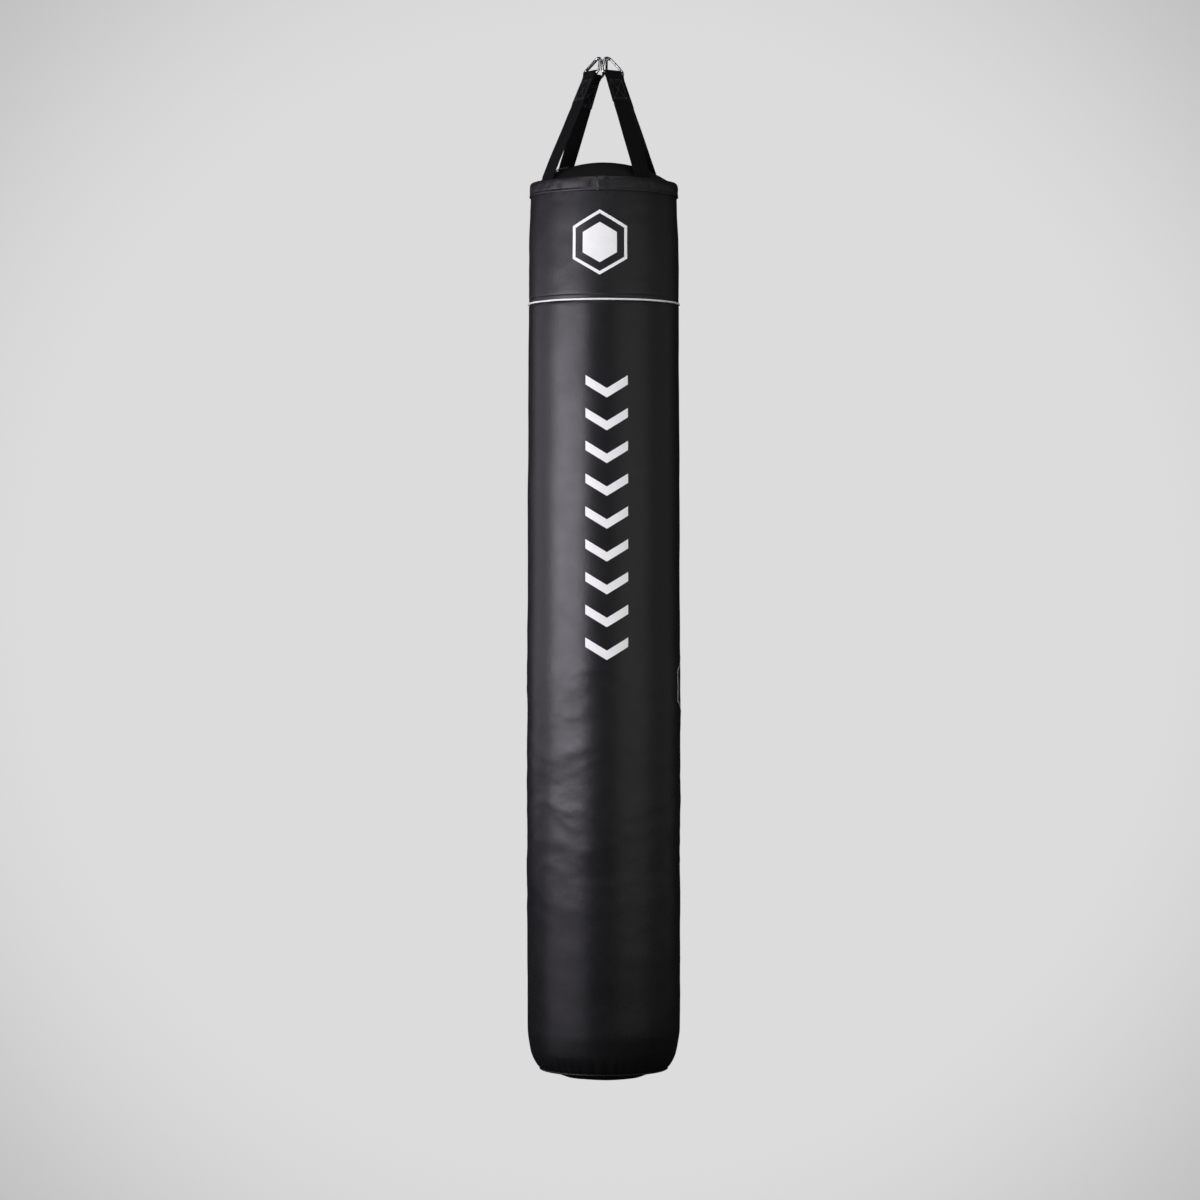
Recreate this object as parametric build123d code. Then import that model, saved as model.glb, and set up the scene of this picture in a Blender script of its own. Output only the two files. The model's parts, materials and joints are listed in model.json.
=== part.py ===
from build123d import *
import os
from math import asin, atan2, cos, degrees, hypot, radians, sin, sqrt, tan

# A long hanging heavy bag: a leather tube packed with cloth, closed by a zipped lid, and hung
# from four webbing straps that end in steel rings. Millimetres, +Z up, front towards -Y.
# The origin is the hang point: on the bag's axis, level with the inside of the ring tips,
# where a hook bears.

os.makedirs("parts", exist_ok=True)

# ---- driving sizes -------------------------------------------------------------------------

BODY_LENGTH = 1800.0      # rim to base
RIM_DROP = 251.0          # hang point down to the rim
PANEL_HEIGHT = 244.0      # rim to the white piping
RIM_RADIUS = 146.0        # outside of the leather where the hem pulls it in
SEAM_RADIUS = 151.0       # at the white piping
BELLY_RADIUS = 154.0      # half way down the main tube
LOW_RADIUS = 153.5        # where the bottom starts to round in
BOTTOM_ROUND_HEIGHT = 102.0
BOTTOM_ROUND_RADIUS = 140.0
BASE_SEAM_HEIGHT = 20.0   # base panel's seam, above the base
BASE_FLAT_RADIUS = 62.0

LEATHER = 2.0
LINING = 1.0
FOAM = 15.0
GAP = 0.3                 # between layers that lie on each other
PANEL_BULGE = 1.6         # top panel swells between rim and seam
PANEL_TOP_GAP = 1.9       # top panel ends just under the hem's fold
BASE_EDGE_GAP = 0.8       # base panel's edge to the tube's edge

HEM_HEIGHT = 28.0
HEM_LEATHER = 1.6
HEM_EDGE = 1.0            # small bevel along the fold
HEM_FLARE = 1.5           # the hem follows the panel outwards as it goes down
PIPING_RADIUS = 1.9
PIPING_SWELL = 1.6        # how far it stands out, as a share of its radius
BASE_CORD_RADIUS = 2.4
BASE_CORD_DROP = 0.5      # cord hangs below the tube's edge
SEAM_STRIP_WIDTH = 26.0
SEAM_STRIP = 1.4
SEAM_STRIP_TOP = 6.0      # starts below the piping
SEAM_STRIP_FOOT = 8.0     # stops above the bottom round

FILL_TOP_GAP = 6.0        # filling to the foot of the lid's skirt
FOAM_TOP_GAP = 8.0        # foam sleeve starts below the piping
FILL_FOOT = 40.0          # filling's flat foot above the base
FILL_FOOT_INSET = 22.0
FILL_ROUND = 6.0          # how far the filling's foot bulges in
BASE_PAD = 24.0
BASE_PAD_RADIUS = 96.0
BASE_PAD_RISE = 13.0      # above the base panel's outer face
CANVAS = 2.0
CANVAS_RADIUS = 100.0

WEBBING_WIDTH = 38.0
WEBBING = 2.2
ANCHOR_LENGTH = 110.0     # strap tail sewn down inside the wall
ANCHOR_TOP = 1.0          # tail's end above the rim
BAND_TOP = 6.0            # webbing band inside the rim, below the rim
BAND_FOOT = 48.0
LAP_OVERRUN = 4.0         # single webbing runs up into the lap
LAP_END = 0.5             # lap stops short of the wire
ANCHOR_RADIUS = 140.8     # middle of the webbing at the rim
LAP_LENGTH = 72.0         # doubled webbing below each ring
HINGE_RISE = 2.6          # strap's bending line above the rim
STRAP_AZIMUTH = {"front_right": -57.0, "back_right": 43.0, "back_left": 129.0, "front_left": -143.0}

WIRE_RADIUS = 2.5
BAR_HALF_LENGTH = 23.5    # ring bar, to the legs' centre lines
BAR_DISTANCE = 33.0       # ring bars from the bag's axis
RING_LEAN = 32.0          # rings lean in over the axis
SHOULDER = (22.5, 8.0)    # where the legs start to close
TIP_HALF_ANGLE = 30.0
TIP_RADIUS = 9.0
CORNER_RADIUS = 3.6
SHOULDER_RADIUS = 8.0
RING_FIT = 0.05           # loop to wire, radially

LID_RISE = 42.0           # lid's crown above the rim
LID_RADIUS = 136.0
LID_CLOTH = 1.5
LID_SKIRT = 26.0
ZIP_SLOT = 8.0
ZIP_HALF_SPAN = 108.0
TAPE = 0.8
TAPE_WIDTH = 13.0
COIL_WIDTH = 4.8
COIL_HEIGHT = 1.6
STOP_HEIGHT = 2.6
STOP_LENGTH = 0.9         # degrees along the zip
STOP_OVERHANG = 0.5       # wider than the teeth on each side
TAPE_OVERRUN = 3.0        # degrees beyond the teeth
DOME_FLOOR = 20.0         # domed layers are cut off this far below the rim

FAR = 600.0               # beyond everything, for blocks that only cut

# ---- places worked out from them -----------------------------------------------------------

RIM_Z = -RIM_DROP
BASE_Z = RIM_Z - BODY_LENGTH
SEAM_Z = RIM_Z - PANEL_HEIGHT
ROUND_Z = BASE_Z + BOTTOM_ROUND_HEIGHT
BASE_SEAM_Z = BASE_Z + BASE_SEAM_HEIGHT
HINGE_Z = RIM_Z + HINGE_RISE

TIP_POINT = SHOULDER[1] + SHOULDER[0] / tan(radians(TIP_HALF_ANGLE))   # where the legs would cross
TIP_CENTRE = TIP_POINT - TIP_RADIUS / sin(radians(TIP_HALF_ANGLE))
RING_DEPTH = TIP_CENTRE + TIP_RADIUS
BAR_Z = -(RING_DEPTH - WIRE_RADIUS) * cos(radians(RING_LEAN))

LID_SPHERE = (LID_RADIUS ** 2 + LID_RISE ** 2) / (2 * LID_RISE)
LID_CENTRE_Z = RIM_Z + LID_RISE - LID_SPHERE
ZIP_ANGLE = degrees(asin(ZIP_HALF_SPAN / LID_SPHERE))

SOLID = {}


def ring_of(wire):
    """Solid of revolution about the bag's axis from a closed outline in the XZ plane."""
    return revolve(make_face(wire), axis=Axis.Z)


def at(radius, z):
    return Vector(radius, 0, z)


def outline(*points):
    return Wire([e for e in Polyline(*points, close=True).edges()])


def band(inner, outer, z_low, z_high):
    """Plain cylindrical ring between two radii and two heights."""
    return ring_of(outline(at(inner, z_low), at(outer, z_low), at(outer, z_high), at(inner, z_high)))


# ---- the body's outer curves, as arcs in the XZ plane, moved in by a depth -------------------

def panel_curve(depth, z_top=RIM_Z - PANEL_TOP_GAP):
    middle = (RIM_RADIUS + SEAM_RADIUS) / 2 + PANEL_BULGE
    return ThreePointArc(at(RIM_RADIUS - depth, z_top), at(middle - depth, (z_top + SEAM_Z) / 2),
                         at(SEAM_RADIUS - depth, SEAM_Z))


def belly_curve(depth, z_top=SEAM_Z):
    return ThreePointArc(at(SEAM_RADIUS - depth, z_top), at(BELLY_RADIUS - depth, (z_top + ROUND_Z) / 2),
                         at(LOW_RADIUS - depth, ROUND_Z))


def round_point(angle, depth):
    """Point on the rounded bottom edge, which turns in under the tube."""
    centre = LOW_RADIUS - BOTTOM_ROUND_RADIUS
    reach = BOTTOM_ROUND_RADIUS - depth
    return at(centre + reach * cos(angle), ROUND_Z - reach * sin(angle))


ROUND_END = asin((ROUND_Z - BASE_SEAM_Z) / BOTTOM_ROUND_RADIUS)
BASE_SEAM_RADIUS = round_point(ROUND_END, 0).X
BASE_ARC = ((BASE_SEAM_RADIUS - BASE_FLAT_RADIUS) ** 2 + BASE_SEAM_HEIGHT ** 2) / (2 * BASE_SEAM_HEIGHT)


def round_curve(depth):
    return ThreePointArc(round_point(0, depth), round_point(ROUND_END / 2, depth),
                         round_point(ROUND_END, depth))


def layer(curves_out, curves_in):
    """Ring solid between an outer chain and an inner chain of curves, both running downwards."""
    top = Line(curves_in[0] @ 0, curves_out[0] @ 0)
    foot = Line(curves_out[-1] @ 1, curves_in[-1] @ 1)
    return ring_of(Wire([c.edge() for c in [top, *curves_out, foot, *curves_in]]))


# ---- leather, seams and lining ---------------------------------------------------------------

SOLID["top_panel"] = layer([panel_curve(0)], [panel_curve(LEATHER)])
shell = layer([belly_curve(0, SEAM_Z - GAP), round_curve(0)],
              [belly_curve(LEATHER, SEAM_Z - GAP), round_curve(LEATHER)])
SOLID["main_shell"] = shell

hem_out = RIM_RADIUS + GAP + HEM_LEATHER
hem_in = RIM_RADIUS - LEATHER - GAP - HEM_LEATHER
hem_foot = RIM_Z - HEM_HEIGHT
SOLID["rim_hem"] = ring_of(outline(
    at(hem_in, hem_foot), at(hem_in + HEM_LEATHER, hem_foot), at(hem_in + HEM_LEATHER, RIM_Z - HEM_LEATHER),
    at(hem_out - HEM_LEATHER, RIM_Z - HEM_LEATHER), at(hem_out - HEM_LEATHER + HEM_FLARE, hem_foot),
    at(hem_out + HEM_FLARE, hem_foot), at(hem_out, RIM_Z - HEM_EDGE), at(hem_out - HEM_EDGE, RIM_Z),
    at(hem_in, RIM_Z)))


piping_foot = at(SEAM_RADIUS + GAP, SEAM_Z - PIPING_RADIUS)
piping_head = at(SEAM_RADIUS + GAP, SEAM_Z + PIPING_RADIUS)
piping_crest = at(SEAM_RADIUS + GAP + PIPING_SWELL * PIPING_RADIUS, SEAM_Z)
SOLID["seam_piping"] = ring_of(Wire([
    ThreePointArc(piping_foot, piping_crest, piping_head).edge(), Line(piping_head, piping_foot).edge()]))

base_cord_r = BASE_SEAM_RADIUS + BASE_CORD_RADIUS + GAP
base_cord_z = BASE_SEAM_Z - BASE_CORD_RADIUS - BASE_CORD_DROP
SOLID["base_seam_cord"] = Pos(0, 0, base_cord_z) * Torus(base_cord_r, BASE_CORD_RADIUS)


def base_point(angle, depth):
    reach = BASE_ARC - depth
    return at(BASE_FLAT_RADIUS + reach * sin(angle), BASE_Z + BASE_ARC - reach * cos(angle))


def base_edge_angle(depth):
    """Angle at which the base panel's arc meets its seam, a little below the shell's edge."""
    return asin((BASE_SEAM_RADIUS - BASE_EDGE_GAP - depth - BASE_FLAT_RADIUS) / (BASE_ARC - depth))


def base_curve(depth):
    end = base_edge_angle(depth)
    return ThreePointArc(base_point(end, depth), base_point(end / 2, depth), base_point(0, depth))


out_curve, in_curve = base_curve(0), base_curve(LEATHER)
SOLID["base_panel"] = ring_of(Wire([c.edge() for c in [
    out_curve, Line(out_curve @ 1, at(0, BASE_Z)), Line(at(0, BASE_Z), at(0, BASE_Z + LEATHER)),
    Line(at(0, BASE_Z + LEATHER), in_curve @ 1), in_curve, Line(in_curve @ 0, out_curve @ 0)]]))

lining_out = LEATHER + GAP
lining_in = lining_out + LINING
lining_whole = layer([panel_curve(lining_out), belly_curve(lining_out), round_curve(lining_out)],
                     [panel_curve(lining_in), belly_curve(lining_in), round_curve(lining_in)])
SOLID["woven_lining"] = lining_whole & band(0, FAR, BASE_Z, hem_foot - LEATHER)

strip_block = Box(SEAM_STRIP_WIDTH, FAR, BODY_LENGTH, align=(Align.CENTER, Align.MIN, Align.MIN))
strip_block = Pos(0, 0, ROUND_Z + SEAM_STRIP_FOOT) * strip_block
strip_top = SEAM_Z - SEAM_STRIP_TOP
strip_layer = layer([belly_curve(-GAP - SEAM_STRIP, strip_top)], [belly_curve(-GAP, strip_top)])
SOLID["back_seam_strip"] = strip_layer & strip_block

# ---- what the leather holds ------------------------------------------------------------------

foam_out = lining_in + GAP
foam_in = foam_out + FOAM
FILL_TOP = RIM_Z - LID_SKIRT - FILL_TOP_GAP
foam_top = SEAM_Z - FOAM_TOP_GAP
foam_body = layer([belly_curve(foam_out, foam_top)], [belly_curve(foam_in, foam_top)])
SOLID["foam_sleeve"] = foam_body

fill_side = belly_curve(foam_in + GAP, foam_top)
fill_neck_r = (fill_side @ 0).X
fill_foot_z = BASE_Z + FILL_FOOT
fill_round = ThreePointArc(fill_side @ 1, at((fill_side @ 1).X - FILL_ROUND, (ROUND_Z + fill_foot_z) / 2),
                           at(BASE_SEAM_RADIUS - FILL_FOOT_INSET, fill_foot_z))
SOLID["textile_fill"] = ring_of(Wire([c.edge() for c in [
    Line(at(0, FILL_TOP), at(fill_neck_r, FILL_TOP)), Line(at(fill_neck_r, FILL_TOP), fill_side @ 0),
    fill_side, fill_round, Line(fill_round @ 1, at(0, fill_foot_z)),
    Line(at(0, fill_foot_z), at(0, FILL_TOP))]]))

ON_FOOT = (Align.CENTER, Align.CENTER, Align.MIN)
pad_z = BASE_Z + BASE_PAD_RISE
SOLID["base_foam_pad"] = Pos(0, 0, pad_z) * Cylinder(BASE_PAD_RADIUS, BASE_PAD, align=ON_FOOT)
canvas_z = pad_z + BASE_PAD + GAP
SOLID["base_canvas_disc"] = Pos(0, 0, canvas_z) * Cylinder(CANVAS_RADIUS, CANVAS, align=ON_FOOT)

# ---- strap anchors and the webbing band that carries them -------------------------------------

anchor_layer = band(ANCHOR_RADIUS - WEBBING / 2, ANCHOR_RADIUS + WEBBING / 2,
                    RIM_Z - ANCHOR_LENGTH, RIM_Z + ANCHOR_TOP)
ANCHOR_ANGLE = degrees(WEBBING_WIDTH / ANCHOR_RADIUS)


def sector(azimuth, angle):
    """Tall wedge about the bag's axis, used to cut a length out of a ring."""
    half = radians(angle / 2)
    corners = [(0, 0), (FAR * cos(half), -FAR * sin(half)), (FAR * cos(half), FAR * sin(half))]
    wedge = extrude(make_face(Polyline(*corners, close=True)), amount=FAR)
    return Rot(0, 0, azimuth) * (Pos(0, 0, RIM_Z - FAR / 2) * wedge)


for corner, azimuth in STRAP_AZIMUTH.items():
    SOLID["strap_anchor_" + corner] = anchor_layer & sector(azimuth, ANCHOR_ANGLE)

band_out = ANCHOR_RADIUS - WEBBING / 2 - GAP
SOLID["rim_webbing_band"] = band(band_out - WEBBING, band_out, RIM_Z - BAND_FOOT, RIM_Z - BAND_TOP)

# ---- straps and their steel rings ------------------------------------------------------------

def frame_at(azimuth, radius, z, lean):
    """Plane whose X runs along the rim, whose Y leans in over the axis, and whose Z faces out."""
    a, t = radians(azimuth), radians(lean)
    along = Vector(-sin(a), cos(a), 0)
    up = Vector(-sin(t) * cos(a), -sin(t) * sin(a), cos(t))
    return Plane(origin=(radius * cos(a), radius * sin(a), z), x_dir=along, z_dir=along.cross(up))


STRAP_RUN = ANCHOR_RADIUS - BAR_DISTANCE
STRAP_RISE = BAR_Z - HINGE_Z
STRAP_LENGTH = hypot(STRAP_RUN, STRAP_RISE)
STRAP_LEAN = degrees(atan2(STRAP_RUN, STRAP_RISE))
LOOP_RADIUS = WIRE_RADIUS + RING_FIT + WEBBING


def webbing(y_low, y_high, thickness):
    block = Box(WEBBING_WIDTH, y_high - y_low, thickness, align=(Align.CENTER, Align.MIN, Align.CENTER))
    return Pos(0, y_low, 0) * block


def cross_rod(y, radius, length):
    """Cylinder across the strap, along its width."""
    return Pos(0, y, 0) * Rot(0, 90, 0) * Cylinder(radius, length)


strap = webbing(0, STRAP_LENGTH - LAP_LENGTH + LAP_OVERRUN, WEBBING)
strap += cross_rod(0, WEBBING / 2, WEBBING_WIDTH)
strap += webbing(STRAP_LENGTH - LAP_LENGTH, STRAP_LENGTH - WIRE_RADIUS - LAP_END, 2 * WEBBING)
strap += cross_rod(STRAP_LENGTH, LOOP_RADIUS, WEBBING_WIDTH)
strap -= cross_rod(STRAP_LENGTH, WIRE_RADIUS + RING_FIT, FAR)

ring_path = FilletPolyline(
    (-BAR_HALF_LENGTH, 0), (BAR_HALF_LENGTH, 0), SHOULDER, (0, TIP_POINT), (-SHOULDER[0], SHOULDER[1]),
    radius=[CORNER_RADIUS, CORNER_RADIUS, SHOULDER_RADIUS, TIP_RADIUS, SHOULDER_RADIUS], close=True)
ring_section = Plane(origin=ring_path @ 0, z_dir=ring_path % 0) * Circle(WIRE_RADIUS)
steel_ring = sweep(ring_section, path=ring_path.wire())

for corner, azimuth in STRAP_AZIMUTH.items():
    hinge = frame_at(azimuth, ANCHOR_RADIUS, HINGE_Z, STRAP_LEAN)
    bar = frame_at(azimuth, BAR_DISTANCE, BAR_Z, RING_LEAN)
    SOLID["strap_" + corner] = hinge.location * strap
    SOLID["ring_" + corner] = bar.location * steel_ring

# ---- lid: two cloth halves on a foam dome, joined by a zip that runs left to right -------------

def sphere_layer(outer, inner, z_floor=RIM_Z - DOME_FLOOR):
    """Domed sheet between two spheres about the lid's centre, above a level."""
    ball = Pos(0, 0, LID_CENTRE_Z) * (Sphere(outer) - Sphere(inner))
    keep = Pos(0, 0, z_floor) * Cylinder(LID_RADIUS, FAR, align=ON_FOOT)
    return ball & keep


lid_edge_z = LID_CENTRE_Z + sqrt(LID_SPHERE ** 2 - LID_RADIUS ** 2)
dome = sphere_layer(LID_SPHERE, LID_SPHERE - LID_CLOTH)
skirt = band(LID_RADIUS - LID_CLOTH, LID_RADIUS, RIM_Z - LID_SKIRT, lid_edge_z)
lid = dome + skirt


def half_space(y_low, y_high):
    block = Box(FAR, y_high - y_low, FAR, align=(Align.CENTER, Align.MIN, Align.CENTER))
    return Pos(0, y_low, RIM_Z) * block


SOLID["lid_front"] = lid & half_space(-FAR, -ZIP_SLOT / 2)
SOLID["lid_back"] = lid & half_space(ZIP_SLOT / 2, FAR)


def zip_sector(angle_low, angle_high, y_low, y_high):
    """Wedge about the lid's centre line, which bounds a length of the zip."""
    low, high = radians(angle_low), radians(angle_high)
    far = [(FAR * sin(t), 0, FAR * cos(t)) for t in (low, (low + high) / 2, high)]
    sides = [Line((0, 0, 0), far[0]), ThreePointArc(*far), Line(far[2], (0, 0, 0))]
    wedge = extrude(make_face(Wire([s.edge() for s in sides])), amount=y_high - y_low, dir=(0, 1, 0))
    return Pos(0, y_low, LID_CENTRE_Z) * wedge


tape_top = LID_SPHERE - LID_CLOTH - GAP
tape_ball = sphere_layer(tape_top, tape_top - TAPE)
tape_ends = ZIP_ANGLE + TAPE_OVERRUN
SOLID["zip_tape_front"] = tape_ball & zip_sector(-tape_ends, tape_ends, -TAPE_WIDTH, -GAP)
SOLID["zip_tape_back"] = tape_ball & zip_sector(-tape_ends, tape_ends, GAP, TAPE_WIDTH)

coil_low = LID_SPHERE - LID_CLOTH
coil_ball = sphere_layer(coil_low + COIL_HEIGHT, coil_low)
SOLID["zip_teeth"] = coil_ball & zip_sector(-ZIP_ANGLE, ZIP_ANGLE, -COIL_WIDTH / 2, COIL_WIDTH / 2)
STOP_GAP = 0.2            # degrees between the teeth and each end stop
stop_ball = sphere_layer(coil_low + STOP_HEIGHT, coil_low)
stop_half = COIL_WIDTH / 2 + STOP_OVERHANG
stop_near = ZIP_ANGLE + STOP_GAP
stop_far = stop_near + STOP_LENGTH
stops = [stop_ball & zip_sector(-stop_far, -stop_near, -stop_half, stop_half),
         stop_ball & zip_sector(stop_near, stop_far, -stop_half, stop_half)]
SOLID["zip_end_stops"] = Compound(children=[s.solids()[0] for s in stops])

PAD_INSET = 2.0           # pad to the lid's skirt
pad_ball = Pos(0, 0, LID_CENTRE_Z) * Sphere(tape_top - TAPE - GAP)
pad_keep = Pos(0, 0, FILL_TOP + GAP) * Cylinder(LID_RADIUS - LID_CLOTH - PAD_INSET, FAR, align=ON_FOOT)
SOLID["lid_foam_dome"] = pad_ball & pad_keep

# ---- zip slider and its pull tab, made over the crown of the lid and then turned to one end ----

SLIDER_LENGTH = 16.0
SLIDER_WIDTH = 11.0
SLIDER_HEIGHT = 3.2
SLIDER_CORNER = 3.0
SLIDER_LIFT = 0.4         # above the lid
TUNNEL_SIDE = 0.4         # slider's groove to the teeth, on each side
TUNNEL = 0.5              # groove's depth in the slider's foot
PIN_RADIUS = 1.2
PIN_RISE = 2.9            # pin above the slider's top
CHEEK = 1.8
CHEEK_LENGTH = 6.0
CHEEK_ROOT = 0.5          # cheeks start inside the slider
CHEEK_TOP = 1.4           # cheeks above the pin
PULL_LENGTH = 34.0
PULL_WIDTH = 9.0
PULL_DROOP = 11.0         # the tab hangs down until its tip lies just over the lid
PULL = 1.6
PULL_CORNER = 2.5
PULL_NECK = 6.0           # pin to the wide part of the tab
EYE_WALL = 1.3
EYE_PLAY = 0.5            # eye to each cheek
PULL_HOLE_RADIUS = 2.2
PULL_HOLE_INSET = 7.0
CROWN_Z = LID_CENTRE_Z + LID_SPHERE
slider_foot = CROWN_Z + SLIDER_LIFT
slider_top = slider_foot + SLIDER_HEIGHT
pin_z = slider_top + PIN_RISE
pin = Pos(0, 0, pin_z) * Rot(90, 0, 0)

slider = Pos(0, 0, slider_foot) * Box(SLIDER_LENGTH, SLIDER_WIDTH, SLIDER_HEIGHT, align=ON_FOOT)
slider = fillet(slider.edges().filter_by(Axis.Z), SLIDER_CORNER)
slider -= Pos(0, 0, slider_foot) * Box(FAR, COIL_WIDTH + 2 * TUNNEL_SIDE, 2 * TUNNEL)
cheek = Box(CHEEK_LENGTH, CHEEK, CHEEK_ROOT + PIN_RISE + CHEEK_TOP, align=ON_FOOT)
for side in (-1, 1):
    slider += Pos(0, side * (SLIDER_WIDTH - CHEEK) / 2, slider_top - CHEEK_ROOT) * cheek
slider += pin * Cylinder(PIN_RADIUS, SLIDER_WIDTH)

FLAT = (Align.MIN, Align.CENTER, Align.CENTER)
eye_width = SLIDER_WIDTH - 2 * CHEEK - 2 * EYE_PLAY
pull = pin * Cylinder(PIN_RADIUS + EYE_WALL, eye_width)
pull += Pos(0, 0, pin_z) * Box(PULL_NECK + PULL_CORNER, eye_width, PULL, align=FLAT)
tab = Box(PULL_LENGTH - PULL_NECK, PULL_WIDTH, PULL, align=FLAT)
tab = fillet(tab.edges().filter_by(Axis.Z), PULL_CORNER)
pull += Pos(PULL_NECK, 0, pin_z) * tab
pull -= pin * Cylinder(PIN_RADIUS + RING_FIT, SLIDER_WIDTH)
pull -= Pos(PULL_LENGTH - PULL_HOLE_INSET, 0, pin_z) * Cylinder(PULL_HOLE_RADIUS, 2 * PULL)

END_CLEARANCE = 1.0       # slider to the end stop
SLIDER_REST = -(ZIP_ANGLE - degrees(asin((SLIDER_LENGTH / 2 + END_CLEARANCE) / LID_SPHERE)))


def to_zip_end(shape):
    """Carries a shape from the lid's crown along the zip to the slider's closed end."""
    return Pos(0, 0, LID_CENTRE_Z) * Rot(0, SLIDER_REST, 0) * Pos(0, 0, -LID_CENTRE_Z) * shape


SOLID["zip_slider"] = to_zip_end(slider)
pull_at_rest = Pos(0, 0, pin_z) * Rot(0, PULL_DROOP, 0) * Pos(0, 0, -pin_z) * pull
SOLID["zip_pull_tab"] = to_zip_end(pull_at_rest)

# ---- write each sub-part ---------------------------------------------------------------------

for name, shape in SOLID.items():
    export_step(shape, f"parts/{name}.step")

print("ring depth", round(RING_DEPTH, 3), "bar z", round(BAR_Z, 3), "strap length", round(STRAP_LENGTH, 2))
print("strap lean", round(STRAP_LEAN, 3), "hinge z", round(HINGE_Z, 3))
print("lid sphere", round(LID_SPHERE, 3), "centre z", round(LID_CENTRE_Z, 3))
print("zip angle", round(ZIP_ANGLE, 3))
print("slider rest", round(SLIDER_REST, 3), "pin radius from centre", round(pin_z - LID_CENTRE_Z, 3))
print("base seam radius", round(BASE_SEAM_RADIUS, 3), "base arc", round(BASE_ARC, 3))
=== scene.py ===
import json
from math import asin, atan2, cos, exp, hypot, pi, radians, sin, sqrt

import bmesh
import bpy
from mathutils import Matrix, Vector, noise
from mathutils.bvhtree import BVHTree


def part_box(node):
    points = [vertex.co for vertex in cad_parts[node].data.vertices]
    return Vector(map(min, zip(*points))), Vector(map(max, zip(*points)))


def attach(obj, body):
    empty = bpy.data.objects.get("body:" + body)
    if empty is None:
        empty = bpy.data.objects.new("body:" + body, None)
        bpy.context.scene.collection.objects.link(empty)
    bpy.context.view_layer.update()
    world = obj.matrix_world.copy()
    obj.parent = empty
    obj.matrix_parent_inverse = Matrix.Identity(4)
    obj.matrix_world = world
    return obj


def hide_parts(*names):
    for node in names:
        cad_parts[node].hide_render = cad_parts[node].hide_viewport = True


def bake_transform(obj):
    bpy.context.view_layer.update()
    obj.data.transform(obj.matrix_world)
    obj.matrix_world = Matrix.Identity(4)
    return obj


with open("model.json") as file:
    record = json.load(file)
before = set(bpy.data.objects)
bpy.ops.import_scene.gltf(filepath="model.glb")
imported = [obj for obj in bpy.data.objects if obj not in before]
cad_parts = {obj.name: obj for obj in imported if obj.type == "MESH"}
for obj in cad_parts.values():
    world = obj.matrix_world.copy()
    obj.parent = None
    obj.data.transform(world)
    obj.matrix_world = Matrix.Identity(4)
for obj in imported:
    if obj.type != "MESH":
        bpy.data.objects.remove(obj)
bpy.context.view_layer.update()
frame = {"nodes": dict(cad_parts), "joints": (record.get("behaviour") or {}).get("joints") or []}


# ---- Studio -----------------------------------------------------------------------------------
# A plain pale studio, with the bag hanging clear of the floor. Large soft panels stand at the left,
# weak ones at the right, small ones above for the steel and lid, and one in front for matt colours.

scene = bpy.context.scene
scene.view_settings.view_transform = "Standard"

hem_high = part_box("rim_hem")[1]
rim_z = hem_high.z
base_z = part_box("base_panel")[0].z

CAMERA_DISTANCE = 7.37
CAMERA_ABOVE_BASE = 0.9606
CAMERA_SIDE = -0.0075
FRAME_WIDTH = 2.4216          # at the bag's axis
SENSOR = 36.0
BACKDROP = 0.716
BACKDROP_EDGE = 0.50
CORNER_FADE = (0.020, 0.062)  # where the backdrop darkens, as squared slopes off the level view
FADE_OVER = (0.08, 0.20)      # where it is pale again, for views from the side and above
DIM_ROOM = 0.012

camera_data = bpy.data.cameras.new("camera")
camera_data.sensor_width = SENSOR
camera_data.lens = SENSOR * CAMERA_DISTANCE / FRAME_WIDTH
camera_data.clip_end = 100.0
camera = bpy.data.objects.new("camera", camera_data)
camera.location = (CAMERA_SIDE, -CAMERA_DISTANCE, base_z + CAMERA_ABOVE_BASE)
camera.rotation_euler = (pi / 2, 0, 0)
scene.collection.objects.link(camera)
scene.camera = camera


def node_maker(tree):
    """Returns add(kind, inputs, settings), which makes a shader node and feeds its inputs."""
    def add(kind, inputs=(), **settings):
        made = tree.nodes.new("ShaderNode" + kind)
        for key, value in settings.items():
            setattr(made, key, value)
        for key, value in dict(inputs).items():
            if isinstance(value, bpy.types.NodeSocket):
                tree.links.new(value, made.inputs[key])
            else:
                made.inputs[key].default_value = value
        return made
    return add


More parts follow.
